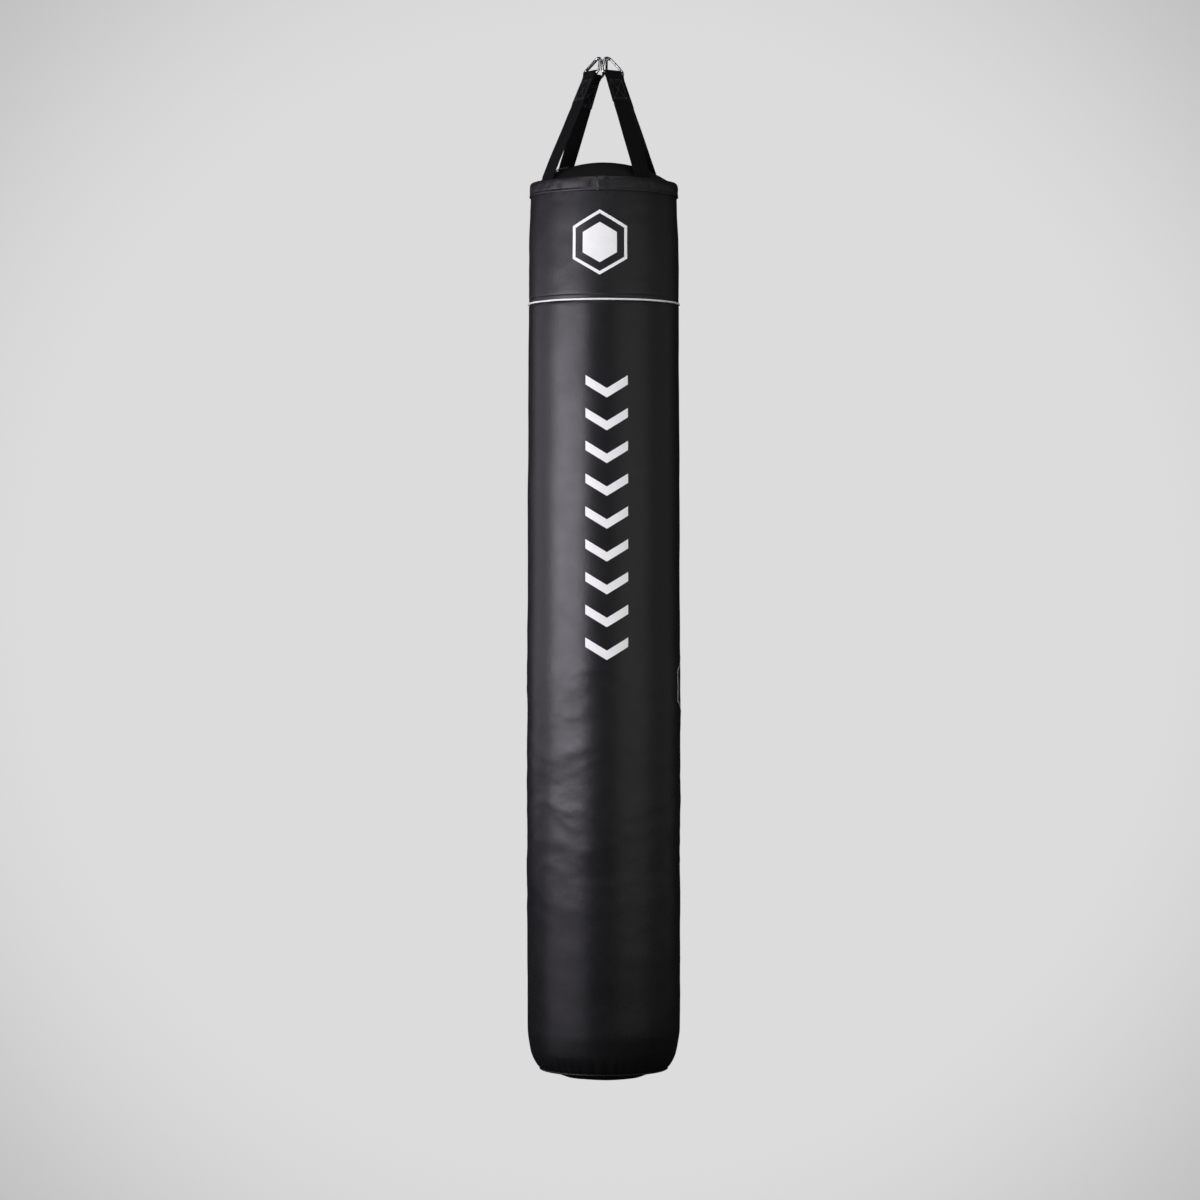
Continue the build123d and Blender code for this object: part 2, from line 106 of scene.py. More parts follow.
def light_the_room():
    """Pale behind the bag, fading a little in the corners, and dim for all that the leather reflects."""
    world = bpy.data.worlds.new("studio")
    scene.world = world
    world.use_nodes = True
    tree = world.node_tree
    tree.nodes.clear()
    add = node_maker(tree)
    direction = add("TexCoord").outputs["Generated"]
    parts = add("SeparateXYZ", {"Vector": direction})
    across = add("Math", {0: parts.outputs["X"], 1: parts.outputs["X"]}, operation="MULTIPLY")
    upright = add("Math", {0: parts.outputs["Z"], 1: parts.outputs["Z"]}, operation="MULTIPLY")
    spread = add("Math", {0: across.outputs[0], 1: upright.outputs[0]}, operation="ADD")
    (near, far), (start, end) = CORNER_FADE, FADE_OVER
    fade = add("MapRange", {"Value": spread.outputs[0], "From Min": near, "From Max": far,
                            "To Min": BACKDROP, "To Max": BACKDROP_EDGE}, interpolation_type="SMOOTHSTEP")
    around = add("MapRange", {"Value": spread.outputs[0], "From Min": start, "From Max": end},
                 interpolation_type="SMOOTHSTEP")
    blend = add("Mix", {0: around.outputs[0], 2: fade.outputs[0], 3: BACKDROP}, data_type="FLOAT")
    seen = add("Background", {"Color": blend.outputs[0], "Strength": 1.0})
    felt = add("Background", {"Color": (1, 1, 1, 1), "Strength": DIM_ROOM})
    ray = add("LightPath")
    mixed = add("MixShader", {0: ray.outputs["Is Camera Ray"], 1: felt.outputs[0], 2: seen.outputs[0]})
    add("OutputWorld", {"Surface": mixed.outputs[0]})


def soft_panel(name, azimuth, distance, height, width, tall, watts, aim_z, tint=(1.0, 1.0, 1.0)):
    """Rectangular soft light, aimed at a height on the bag's axis. Its azimuth is in degrees from the
    camera's side, positive to the right; its distance, height, width and tallness are in metres."""
    data = bpy.data.lights.new(name, "AREA")
    data.color = tint
    data.shape = "RECTANGLE"
    data.size = width
    data.size_y = tall
    data.energy = watts
    panel = bpy.data.objects.new(name, data)
    a = radians(azimuth)
    panel.location = (distance * sin(a), -distance * cos(a), height)
    aim = Vector((0, 0, aim_z)) - panel.location
    panel.rotation_euler = aim.to_track_quat("-Z", "Y").to_euler()
    scene.collection.objects.link(panel)
    return panel


light_the_room()
COOL = (0.93, 0.88, 1.0)      # the key side's faint violet
soft_panel("key_panel", -53, 2.0, -0.87, 1.9, 1.2, 38, -0.87, COOL)
soft_panel("far_key_panel", -98, 2.0, -0.87, 2.2, 1.5, 9, -0.87, COOL)
soft_panel("low_key_panel", -60, 2.0, -2.05, 2.4, 1.3, 5, -1.6, COOL)
soft_panel("fill_panel", 44, 2.6, -0.95, 2.4, 2.2, 9, -1.0)
soft_panel("far_fill_panel", 96, 2.6, -0.95, 2.6, 2.2, 3, -1.0)
soft_panel("steel_panel", -18, 1.6, 0.75, 0.9, 0.5, 6, -0.02)
soft_panel("lid_panel", 10, 0.5, 2.0, 1.2, 1.2, 9, -0.2)
flat_fill = soft_panel("flat_fill_panel", 12, 4.5, -0.7, 2.5, 2.5, 60, -0.8)
flat_fill.visible_glossy = False

FLOOR_DROP = 0.9
FLOOR_RADIUS = 3.7
FLOOR_FADE = 1.6
FLOOR_GLOW = 0.56
FLOOR_TONES = (0.52, 0.58)
floor_mesh = bpy.data.meshes.new("floor")
floor_form = bmesh.new()
bmesh.ops.create_circle(floor_form, cap_ends=True, radius=FLOOR_RADIUS, segments=128)
floor_form.to_mesh(floor_mesh)
floor_form.free()
floor = bpy.data.objects.new("floor", floor_mesh)
floor.location = (0, 0, base_z - FLOOR_DROP)
floor.visible_glossy = False
floor.visible_diffuse = False
scene.collection.objects.link(floor)


def floor_paint():
    """Matt pale paint that fades into the backdrop at the floor's edge."""
    material = bpy.data.materials.new("floor_paint")
    material.use_nodes = True
    tree = material.node_tree
    add = node_maker(tree)
    surface = tree.nodes["Principled BSDF"]
    grain = add("TexNoise", {"Scale": 40.0, "Detail": 3.0})
    dark, pale = FLOOR_TONES
    shade = add("MapRange", {"Value": grain.outputs["Fac"], "To Min": dark, "To Max": pale})
    tree.links.new(shade.outputs[0], surface.inputs["Base Color"])
    place = add("TexCoord").outputs["Object"]
    reach = add("VectorMath", {0: place}, operation="LENGTH")
    cover = add("MapRange", {"Value": reach.outputs["Value"], "From Min": FLOOR_RADIUS - FLOOR_FADE,
                             "From Max": FLOOR_RADIUS, "To Min": 1.0, "To Max": 0.0})
    tree.links.new(cover.outputs[0], surface.inputs["Alpha"])
    surface.inputs["Roughness"].default_value = 0.9
    surface.inputs["Emission Color"].default_value = (1, 1, 1, 1)
    surface.inputs["Emission Strength"].default_value = FLOOR_GLOW
    return material


floor_mesh.materials.append(floor_paint())


# ---- Filling and padding ----------------------------------------------------------------------
# Packed shredded cloth inside a foam sleeve, with foam pads under the lid and over the base. They
# are closed in by the leather, and keep their plain moulded shapes.

def finish(name):
    """New material; returns it with its node maker, its surface and a link function."""
    material = bpy.data.materials.new(name)
    material.use_nodes = True
    tree = material.node_tree
    surface = tree.nodes["Principled BSDF"]

    def feed(socket, value):
        tree.links.new(value, surface.inputs[socket])
    return material, node_maker(tree), surface, feed


def set_surface(surface, **values):
    """Plain values on the surface's own sockets, by name with underscores for spaces."""
    for key, value in values.items():
        surface.inputs[key.replace("_", " ").title().replace("Ior", "IOR")].default_value = value


def ramp(add, value, low, high):
    """Grey or coloured blend between two colours, as a socket."""
    mix = add("Mix", {0: value, 6: (*low, 1), 7: (*high, 1)}, data_type="RGBA")
    return mix.outputs[2]


def foam_finish():
    material, add, surface, feed = finish("closed_cell_foam")
    place = add("TexCoord").outputs["Object"]
    cells = add("TexVoronoi", {"Vector": place, "Scale": 420.0})
    tone = add("TexNoise", {"Vector": place, "Scale": 9.0, "Detail": 4.0})
    feed("Base Color", ramp(add, tone.outputs["Fac"], (0.36, 0.37, 0.40), (0.52, 0.53, 0.55)))
    dents = add("Bump", {"Height": cells.outputs["Distance"], "Distance": 0.0006, "Strength": 0.5})
    feed("Normal", dents.outputs[0])
    set_surface(surface, roughness=0.92)
    return material


def rag_finish():
    material, add, surface, feed = finish("shredded_cloth")
    place = add("TexCoord").outputs["Object"]
    scraps = add("TexVoronoi", {"Vector": place, "Scale": 34.0}, distance="MANHATTAN")
    tone = add("TexNoise", {"Vector": place, "Scale": 60.0, "Detail": 6.0})
    feed("Base Color", ramp(add, scraps.outputs["Distance"], (0.20, 0.21, 0.27), (0.55, 0.50, 0.44)))
    folds = add("Bump", {"Height": tone.outputs["Fac"], "Distance": 0.004, "Strength": 0.8})
    feed("Normal", folds.outputs[0])
    set_surface(surface, roughness=0.95)
    return material


def dress(node, material):
    """Gives a CAD part that keeps its shape its real material."""
    part = frame["nodes"][node]
    if not part.material_slots:
        part.data.materials.append(material)
    for material_slot in part.material_slots:
        material_slot.material = material


foam = foam_finish()
for node in ("foam_sleeve", "base_foam_pad", "lid_foam_dome"):
    dress(node, foam)
dress("textile_fill", rag_finish())


# ---- Lining and inner webbing -----------------------------------------------------------------
# A grey woven liner behind the leather, a canvas disc over the base pad, and a webbing band inside
# the rim that the strap tails are sewn to.

def plain_weave(add, place, threads, depth):
    """Over-and-under weave as a bump socket. More threads make it finer."""
    warp = add("TexWave", {"Vector": place, "Scale": threads, "Distortion": 0.4}, bands_direction="X")
    weft = add("TexWave", {"Vector": place, "Scale": threads, "Distortion": 0.4}, bands_direction="Z")
    cross = add("Math", {0: warp.outputs["Fac"], 1: weft.outputs["Fac"]}, operation="MAXIMUM")
    return add("Bump", {"Height": cross.outputs[0], "Distance": depth, "Strength": 0.6}).outputs[0]


def lining_finish():
    material, add, surface, feed = finish("woven_liner")
    place = add("TexCoord").outputs["Object"]
    tone = add("TexNoise", {"Vector": place, "Scale": 14.0, "Detail": 5.0})
    feed("Base Color", ramp(add, tone.outputs["Fac"], (0.19, 0.19, 0.20), (0.30, 0.30, 0.31)))
    feed("Normal", plain_weave(add, place, 260.0, 0.0004))
    set_surface(surface, roughness=0.85, sheen_weight=0.2, sheen_roughness=0.5)
    return material


liner = lining_finish()
dress("woven_lining", liner)
dress("base_canvas_disc", liner)


# ---- Main tube --------------------------------------------------------------------------------
# Black coated leather, sewn into a tube and packed hard. It creases across its lower half where the
# filling settles, and is gathered into small pleats where it turns under to the base panel.

seam_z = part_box("top_panel")[0].z
SEAM_RADIUS = 0.151
BELLY_INSET = 0.0003
tube_low, tube_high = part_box("main_shell")
belly_radius = (tube_high.x - tube_low.x) / 2 - BELLY_INSET
LOW_RADIUS = 0.1535
ROUND_HEIGHT = 0.102          # where the tube starts to turn under, above the base
BOTTOM_ROUND = 0.140
BASE_DROP = 0.020             # how far the base panel hangs below its seam
round_z = base_z + ROUND_HEIGHT
base_seam_z = base_z + BASE_DROP
round_end = asin((round_z - base_seam_z) / BOTTOM_ROUND)
base_seam_radius = LOW_RADIUS - BOTTOM_ROUND * (1 - cos(round_end))

SPOKES = 216
PLEATS = 44
SEAM_DIP = 0.0022             # how far the leather dips into the seam
SEAM_GAP = 0.0004
LIP = 0.004                   # seam allowance, turned inwards


def bell(distance, width):
    """1 at a seam, falling away on both sides."""
    return exp(-(distance / width) ** 2)


def smooth(value, low, high):
    t = min(max((value - low) / (high - low), 0.0), 1.0)
    return t * t * (3 - 2 * t)


def wander(angle, z, scale, seed):
    """Smooth noise on the bag's skin, from -1 to 1, that closes on itself round the bag."""
    return noise.noise(Vector((cos(angle) * scale, sin(angle) * scale, z * scale * 6.5 + seed)))


def crease(angle, z, round_scale, z_scale, seed):
    """Soft folds that run across the bag, with rounded tops and narrow valleys."""
    n = noise.noise(Vector((cos(angle) * round_scale, sin(angle) * round_scale, z * z_scale + seed)))
    return 1 - abs(n) * 2.6


def tube_radius(z):
    """The tube's plain radius at a height: seam, belly and low radius on one quadratic curve."""
    t = (seam_z - z) / (seam_z - round_z)
    return (SEAM_RADIUS * (1 - t) * (1 - 2 * t) + 4 * belly_radius * t * (1 - t)
            + LOW_RADIUS * t * (2 * t - 1))


def pucker(angle, distance, count, seed):
    """Little tucks that stitching pulls into leather, at a distance from the seam."""
    phase = 2.2 * wander(angle, 0.0, 2.0, seed) + 1.1 * wander(angle, 0.0, 9.0, seed)
    depth = 0.7 + 0.6 * wander(angle, 0.0, 4.0, seed + 3)
    return depth * sin(count * angle + 3 * phase) * exp(-distance / 0.014)


def pleat(angle, t, seed):
    """Gathered fold, from 0 on its crown to -1 in its valley, that dies out at its own height."""
    phase = 0.9 * wander(angle, 0.0, 1.6, seed) + 0.5 * wander(angle, 0.0, 5.0, seed + 1)
    reach = 0.62 + 0.55 * wander(angle, 0.0, 7.0, seed + 2)
    wave = abs(sin(PLEATS / 2 * angle + 4 * phase)) ** 0.65
    return (wave - 1) * smooth(t, 1 - reach, 0.9)


def tube_swell(angle, z):
    """How far the tube's skin stands in or out of its plain radius at an angle and height."""
    down = seam_z - z
    lumps = 0.0011 * wander(angle, z, 1.1, 5.0) + 0.0006 * wander(angle, z, 2.6, 9.0)
    low = smooth(-z, 1.10, 1.30) * (1 - 0.75 * smooth(-z, 1.55, 1.80))
    worn = 0.12 + low * (0.88 + 0.6 * wander(angle, z, 1.4, 21.0))
    drift = 0.012 * wander(angle, z, 2.1, 47.0)
    across = 0.0010 * crease(angle, z + drift, 1.3, 12.0, 2.0)
    across += 0.00055 * crease(angle, z + drift, 2.8, 26.0, 7.0)
    across += 0.00022 * crease(angle, z + 2 * drift, 5.5, 52.0, 11.0)
    seam_turn = -SEAM_DIP * bell(down, 0.0024)
    tucks = 0.00038 * pucker(angle, down, 96, 31.0)
    return lumps + worn * across + seam_turn + tucks


def round_swell(angle, t):
    z = round_z - BOTTOM_ROUND * sin(t * round_end)
    slump = tube_swell(angle, z)
    height = 0.0052 * smooth(t, 0.15, 0.85) * (1 - 0.7 * smooth(t, 0.93, 1.0))
    fold = 1 + pleat(angle, t, 40.0)
    return slump * (1 - t) + height * (fold - 0.33) * smooth(t, 0.1, 0.6)


def skin_point(angle, radius, z):
    return Vector((radius * cos(angle), radius * sin(angle), z))


def grid_mesh(name, rows, spokes, place, closed=True):
    """Mesh object from a grid of points place(row, spoke), joined round if closed."""
    points = [place(row, spoke) for row in range(rows) for spoke in range(spokes)]
    faces = []
    last = spokes if closed else spokes - 1
    for row in range(rows - 1):
        for spoke in range(last):
            a, b = row * spokes + spoke, row * spokes + (spoke + 1) % spokes
            faces.append((a, a + spokes, b + spokes, b))
    mesh = bpy.data.meshes.new(name)
    mesh.from_pydata(points, [], faces)
    mesh.validate()
    mesh.shade_smooth()
    made = bpy.data.objects.new(name, mesh)
    scene.collection.objects.link(made)
    return made


def face_outwards(thing):
    """Points every face of a mesh out of the solid it bounds."""
    form = bmesh.new()
    form.from_mesh(thing.data)
    bmesh.ops.recalc_face_normals(form, faces=form.faces)
    form.to_mesh(thing.data)
    form.free()


def leather_finish(name, tone=0.008, gloss=0.34, grain=0.00016):
    """Coated leather: fine pebble grain, faint cloudy colour, and a satin coat with a few scuffs."""
    material, add, surface, feed = finish(name)
    place = add("TexCoord").outputs["Object"]
    cloud = add("TexNoise", {"Vector": place, "Scale": 5.0, "Detail": 5.0, "Roughness": 0.6})
    dark = (tone * 0.78, tone * 0.76, tone * 0.80)
    pale = (tone * 1.30, tone * 1.26, tone * 1.36)
    feed("Base Color", ramp(add, cloud.outputs["Fac"], dark, pale))
    scuff = add("TexNoise", {"Vector": place, "Scale": 28.0, "Detail": 7.0, "Roughness": 0.7})
    sheen = add("MapRange", {"Value": scuff.outputs["Fac"], "From Min": 0.25, "From Max": 0.75,
                             "To Min": gloss - 0.05, "To Max": gloss + 0.08})
    feed("Roughness", sheen.outputs[0])
    pebble = add("TexVoronoi", {"Vector": place, "Scale": 560.0, "Randomness": 0.9},
                 feature="SMOOTH_F1")
    creep = add("TexNoise", {"Vector": place, "Scale": 130.0, "Detail": 6.0, "Roughness": 0.65})
    fine = add("Bump", {"Height": pebble.outputs["Distance"], "Distance": grain, "Strength": 0.55})
    soft = add("Bump", {"Height": creep.outputs["Fac"], "Distance": 0.0011, "Strength": 0.22,
                        "Normal": fine.outputs[0]})
    feed("Normal", soft.outputs[0])
    set_surface(surface, specular_ior_level=0.5, ior=1.5)
    return material


def rows_down(near, run, count):
    """Depths of rows from a seam: close ones as given, then a number of even steps to the run's end."""
    last = near[-1]
    return near + [last + (run - last) * i / count for i in range(1, count + 1)]


TUBE_NEAR = [0.0, 0.0008, 0.0016, 0.0026, 0.0038, 0.0052, 0.007, 0.009, 0.0115, 0.0145, 0.018, 0.0225]
TUBE_ROWS = rows_down(TUBE_NEAR, seam_z - round_z, 250)
ROUND_ROWS = 36
TUCK_IN = 0.0022              # the gathered edge, turned in and up behind the base seam
TUCK_UP = 0.0034


def tube_place(row, spoke):
    angle = 2 * pi * spoke / SPOKES
    if row == 0:
        return skin_point(angle, SEAM_RADIUS - SEAM_DIP - LIP, seam_z - SEAM_GAP)
    row -= 1
    if row < len(TUBE_ROWS):
        z = seam_z - SEAM_GAP - TUBE_ROWS[row]
        return skin_point(angle, tube_radius(z) + tube_swell(angle, z), z)
    t = min((row - len(TUBE_ROWS) + 1) / ROUND_ROWS, 1.0)
    turn = t * round_end
    reach = BOTTOM_ROUND + round_swell(angle, t)
    out, down = LOW_RADIUS - BOTTOM_ROUND + reach * cos(turn), reach * sin(turn)
    if row - len(TUBE_ROWS) + 1 > ROUND_ROWS:
        out, down = out - TUCK_IN, down + TUCK_UP
    return skin_point(angle, out, round_z - down)


SLACK = 0.030                 # extra length left in the creased part, for each metre of it
SLACK_FROM = 1.12             # metres below the hang point
SLACK_RUN = 0.72
LAYER = 0.0018                # leather stays this close over its lining
GIVE = 0.996                  # the filling stretches the tube a little beyond its cut width


def tube_cut(row, spoke):
    """Where a point of the tube lay when it was sewn as a sleeve, before the filling pressed it out."""
    angle = 2 * pi * spoke / SPOKES
    row -= 1
    if row < 0:
        return tube_place(0, spoke)
    z = seam_z - SEAM_GAP - TUBE_ROWS[min(row, len(TUBE_ROWS) - 1)]
    slack = SLACK * min(max(-z - SLACK_FROM, 0.0), SLACK_RUN)
    if row < len(TUBE_ROWS):
        return skin_point(angle, tube_radius(z) * GIVE, z - slack)
    t = min((row - len(TUBE_ROWS) + 1) / ROUND_ROWS, 1.0)
    width = LOW_RADIUS * (1 - 0.06 * t)
    return skin_point(angle, width * GIVE, round_z - slack - t * round_end * BOTTOM_ROUND)


CLOTH_MASS = 0.002            # of each point
CLOTH_STIFFNESS = 15.0
CLOTH_BENDING = 0.15


def settle(thing, cut, pins, steps, pressure, cap):
    """Lets leather settle as cloth that its filling presses out. The cut gives the points' places as
    sewn, the pins are held by seams, and no point moves further than the cap."""
    mesh = thing.data
    made = [vertex.co.copy() for vertex in mesh.vertices]
    thing.shape_key_add(name="made")
    key = thing.shape_key_add(name="cut")
    for point, place in zip(key.data, cut):
        point.co = place
    key.value = 0.0
    seams = thing.vertex_groups.new(name="seams")
    seams.add(pins, 1.0, "REPLACE")
    cloth = thing.modifiers.new("settle", "CLOTH")
    cloth.settings.quality = 3
    cloth.settings.mass = CLOTH_MASS
    cloth.settings.tension_stiffness = CLOTH_STIFFNESS
    cloth.settings.compression_stiffness = CLOTH_STIFFNESS
    cloth.settings.shear_stiffness = CLOTH_STIFFNESS / 2
    cloth.settings.bending_stiffness = CLOTH_BENDING
    cloth.settings.vertex_group_mass = "seams"
    cloth.settings.rest_shape_key = key
    cloth.settings.use_pressure = True
    cloth.settings.uniform_pressure_force = pressure
    cloth.settings.effector_weights.gravity = 0.0
    cloth.collision_settings.use_collision = False
    cloth.point_cache.frame_start = 1
    cloth.point_cache.frame_end = steps
    for step in range(1, steps + 1):
        scene.frame_set(step)
    settled = thing.evaluated_get(bpy.context.evaluated_depsgraph_get()).data
    places = [vertex.co.copy() for vertex in settled.vertices]
    thing.modifiers.remove(cloth)
    thing.shape_key_clear()
    thing.vertex_groups.clear()
    moves = [place - start for start, place in zip(made, places)]
    for vertex, start, move in zip(mesh.vertices, made, moves):
        vertex.co = start + move * min(1.0, cap / max(move.length, 1e-9))
    scene.frame_set(1)


def grid_points(rows):
    """Numbers of all the points in some rows of a skin."""
    return [row * SPOKES + spoke for row in rows for spoke in range(SPOKES)]


rows_of_tube = len(TUBE_ROWS) + ROUND_ROWS + 2
main_tube = grid_mesh("main_tube", rows_of_tube, SPOKES, tube_place)
face_outwards(main_tube)
held_rows = [0, 1, 2, 3, rows_of_tube - 3, rows_of_tube - 2, rows_of_tube - 1]
sewn = [tube_cut(row, spoke) for row in range(rows_of_tube) for spoke in range(SPOKES)]
settle(main_tube, sewn, grid_points(held_rows), 16, 12.0, 0.004)
for index, vertex in enumerate(main_tube.data.vertices):
    row = index // SPOKES
    if 1 <= row <= len(TUBE_ROWS):
        least = tube_radius(vertex.co.z) - LAYER
        wide = hypot(vertex.co.x, vertex.co.y)
        if wide < least:
            vertex.co.x *= least / wide
            vertex.co.y *= least / wide
black_leather = leather_finish("black_leather")
main_tube.data.materials.append(black_leather)
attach(main_tube, "bag")
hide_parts("main_shell")


# ---- Back seam strip --------------------------------------------------------------------------
# A lapped leather strip that covers the tube's closing seam, down the middle of the back. It is sewn
# down along both edges with black thread.

STRIP_WIDTH = 0.026
STRIP_PROUD = 0.0015
STRIP_ROWS = 261
strip_low, strip_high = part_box("back_seam_strip")
STRIP_GROOVE = 0.36           # stitching lines, as a share of the width
STRIP_HALF = [(0.0, 1.15), (0.15, 1.12), (0.32, 0.98), (STRIP_GROOVE, 0.62), (0.40, 0.98), (0.47, 0.9),
              (0.5, 0.55), (0.5, -0.0006)]
STRIP_PROFILE = [(-side, height) for side, height in STRIP_HALF[:0:-1]] + STRIP_HALF


def strip_place(row, spoke):
    z = strip_high.z + (strip_low.z - strip_high.z) * row / (STRIP_ROWS - 1)
    side, height = STRIP_PROFILE[spoke]
    angle = pi / 2 - side * STRIP_WIDTH / belly_radius
    wave = 0.00025 * noise.noise(Vector((side * 2, 0, z * 60)))
    return skin_point(angle, tube_radius(z) + tube_swell(angle, z) + STRIP_PROUD * height + wave, z)


back_strip = grid_mesh("back_strip", STRIP_ROWS, len(STRIP_PROFILE), strip_place, closed=False)
back_strip.data.materials.append(leather_finish("strip_leather", tone=0.008, gloss=0.38))
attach(back_strip, "bag")
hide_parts("back_seam_strip")


def thread_finish():
    material, add, surface, feed = finish("black_thread")
    place = add("TexCoord").outputs["Object"]
    twist = add("TexWave", {"Vector": place, "Scale": 700.0, "Distortion": 1.0}, bands_direction="DIAGONAL")
    tone = add("TexNoise", {"Vector": place, "Scale": 90.0, "Detail": 2.0})
    feed("Base Color", ramp(add, tone.outputs["Fac"], (0.012, 0.012, 0.013), (0.035, 0.035, 0.037)))
    ply = add("Bump", {"Height": twist.outputs["Fac"], "Distance": 0.0002, "Strength": 0.5})
    feed("Normal", ply.outputs[0])
    set_surface(surface, roughness=0.55, sheen_weight=0.15)
    return material


black_thread = thread_finish()
STITCH_ROUND = 6
STITCH_RINGS = ((-0.5, 0.25), (-0.32, 0.85), (0.0, 1.0), (0.32, 0.85), (0.5, 0.25))


def stitch_mesh(name, stitches, thread=0.00042):
    """One mesh of many stitches, each a short bead of thread given as (start, end, outward)."""
    points, faces = [], []
    for start, end, outward in stitches:
        along = end - start
        side = along.cross(outward).normalized()
        up = side.cross(along).normalized()
        first = len(points)
        middle = (start + end) / 2
        for place, girth in STITCH_RINGS:
            for corner in range(STITCH_ROUND):
                a = 2 * pi * corner / STITCH_ROUND
                swing = (side * cos(a) + up * sin(a)) * thread * girth
                points.append(middle + along * place + swing)
        rings = len(STITCH_RINGS)
        for ring in range(rings - 1):
            for corner in range(STITCH_ROUND):
                a = first + ring * STITCH_ROUND + corner
                b = first + ring * STITCH_ROUND + (corner + 1) % STITCH_ROUND
                faces.append((a, b, b + STITCH_ROUND, a + STITCH_ROUND))
        faces.append(tuple(first + corner for corner in reversed(range(STITCH_ROUND))))
        faces.append(tuple(first + (rings - 1) * STITCH_ROUND + corner for corner in range(STITCH_ROUND)))
    mesh = bpy.data.meshes.new(name)
    mesh.from_pydata(points, [], faces)
    mesh.shade_smooth()
    made = bpy.data.objects.new(name, mesh)
    made.data.materials.append(black_thread)
    scene.collection.objects.link(made)
    face_outwards(made)
    return made


STITCH_PITCH = 0.0046
STITCH_LENGTH = 0.0034


def strip_stitches():
    found = []
    count = int((strip_high.z - strip_low.z - 0.006) / STITCH_PITCH)
    for side in (-STRIP_GROOVE, STRIP_GROOVE):
        angle = pi / 2 - side * STRIP_WIDTH / belly_radius
        outward = Vector((cos(angle), sin(angle), 0))
        for i in range(count):
            z = strip_high.z - 0.004 - i * STITCH_PITCH
            radius = tube_radius(z) + tube_swell(angle, z) + STRIP_PROUD * 0.75
            foot = skin_point(angle, radius, z - STITCH_LENGTH)
            found.append((skin_point(angle, radius, z), foot, outward))
    return found


back_stitches = stitch_mesh("back_strip_stitches", strip_stitches())
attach(back_stitches, "bag")


# ---- Base panel and its cord ------------------------------------------------------------------
# A round leather panel that bulges under the filling and lies flat in the middle. A bound cord is
# sewn into the seam between it and the gathered tube.

FLAT_RADIUS = 0.075
BASE_RINGS = 46
BASE_CLEAR = 0.0004
BASE_RISE = 0.0192            # from the flat middle up to the seam


def base_place(row, spoke):
    angle = 2 * pi * spoke / SPOKES
    if row == BASE_RINGS + 1:
        return skin_point(angle, base_seam_radius - 0.0052, base_seam_z - 0.001)
    share = (row + 0.15) / (BASE_RINGS + 0.15)
    radius = (base_seam_radius - 0.0012) * share
    beyond = max(radius - FLAT_RADIUS, 0.0)
    z = base_z + BASE_CLEAR + BASE_RISE * (beyond / (base_seam_radius - FLAT_RADIUS)) ** 1.1
    edge = (1 - share) * base_seam_radius
    lift = 0.0009 * wander(angle, radius * 3, 1.3, 55.0) * smooth(share, 0.1, 0.6) + 0.0008 * (1 - share)
    lift += 0.0007 * pucker(angle, edge, 44, 61.0) + 0.0005 * abs(wander(angle, radius * 2, 4.0, 70.0))
    return skin_point(angle, radius, z + max(lift, 0.0))


base_skin = grid_mesh("base_skin", BASE_RINGS + 2, SPOKES, base_place)


def close_hub(thing, count):
    """Fills the small hole left in the middle of a mesh of rings."""
    form = bmesh.new()
    form.from_mesh(thing.data)
    form.verts.ensure_lookup_table()
    form.faces.new([form.verts[i] for i in range(count)])
    bmesh.ops.recalc_face_normals(form, faces=form.faces)
    form.to_mesh(thing.data)
    form.free()
    thing.data.shade_smooth()


close_hub(base_skin, SPOKES)
if max(base_skin.data.polygons, key=lambda face: face.area).normal.z > 0:
    base_skin.data.flip_normals()
edge = base_seam_radius - 0.004
held = [v.index for v in base_skin.data.vertices if hypot(v.co.x, v.co.y) > edge]
sewn = [Vector((v.co.x * 1.012, v.co.y * 1.012, v.co.z)) for v in base_skin.data.vertices]
settle(base_skin, sewn, held, 14, 4.0, 0.003)
for vertex in base_skin.data.vertices:
    vertex.co.z = max(vertex.co.z, base_z + 0.0003)
base_skin.data.materials.append(leather_finish("base_leather", tone=0.006, gloss=0.45, grain=0.0002))
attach(base_skin, "bag")
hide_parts("base_panel")


CORD_ROWS = 361
CORD_SPOKES = 14


def cord_ring(name, radius, z, thickness, wave, seed):
    """A sewn-in cord round the bag, bound in its own strip, that follows the seam's small waves."""
    def place(row, spoke):
        angle = 2 * pi * row / (CORD_ROWS - 1)
        turn = 2 * pi * spoke / CORD_SPOKES
        sway = wave * wander(angle, 0.0, 3.0, seed)
        lift = wave * wander(angle, 0.0, 2.2, seed + 4)
        puff = thickness * (1 + 0.02 * sin(130 * angle) + 0.04 * wander(angle, 0.0, 20.0, seed + 8))
        return skin_point(angle, radius + sway + puff * cos(turn), z + lift + puff * sin(turn))
    cord = grid_mesh(name, CORD_ROWS, CORD_SPOKES, place)
    form = bmesh.new()
    form.from_mesh(cord.data)
    bmesh.ops.remove_doubles(form, verts=form.verts, dist=1e-6)
    bmesh.ops.recalc_face_normals(form, faces=form.faces)
    form.to_mesh(cord.data)
    form.free()
    return cord


BASE_CORD = 0.0019
cord_low, cord_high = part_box("base_seam_cord")
cord_z = (cord_low.z + cord_high.z) / 2 + 0.0004
base_cord = cord_ring("base_cord", cord_high.x - 0.0042, cord_z, BASE_CORD, 0.0004, 80.0)
base_cord.data.materials.append(leather_finish("cord_leather", tone=0.005, gloss=0.50))
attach(base_cord, "bag")
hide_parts("base_seam_cord")


# ---- Top panel --------------------------------------------------------------------------------
# A separate band of the same leather between the hem and the white piping, top-stitched just above
# the piping. The hem pulls it in at the rim.

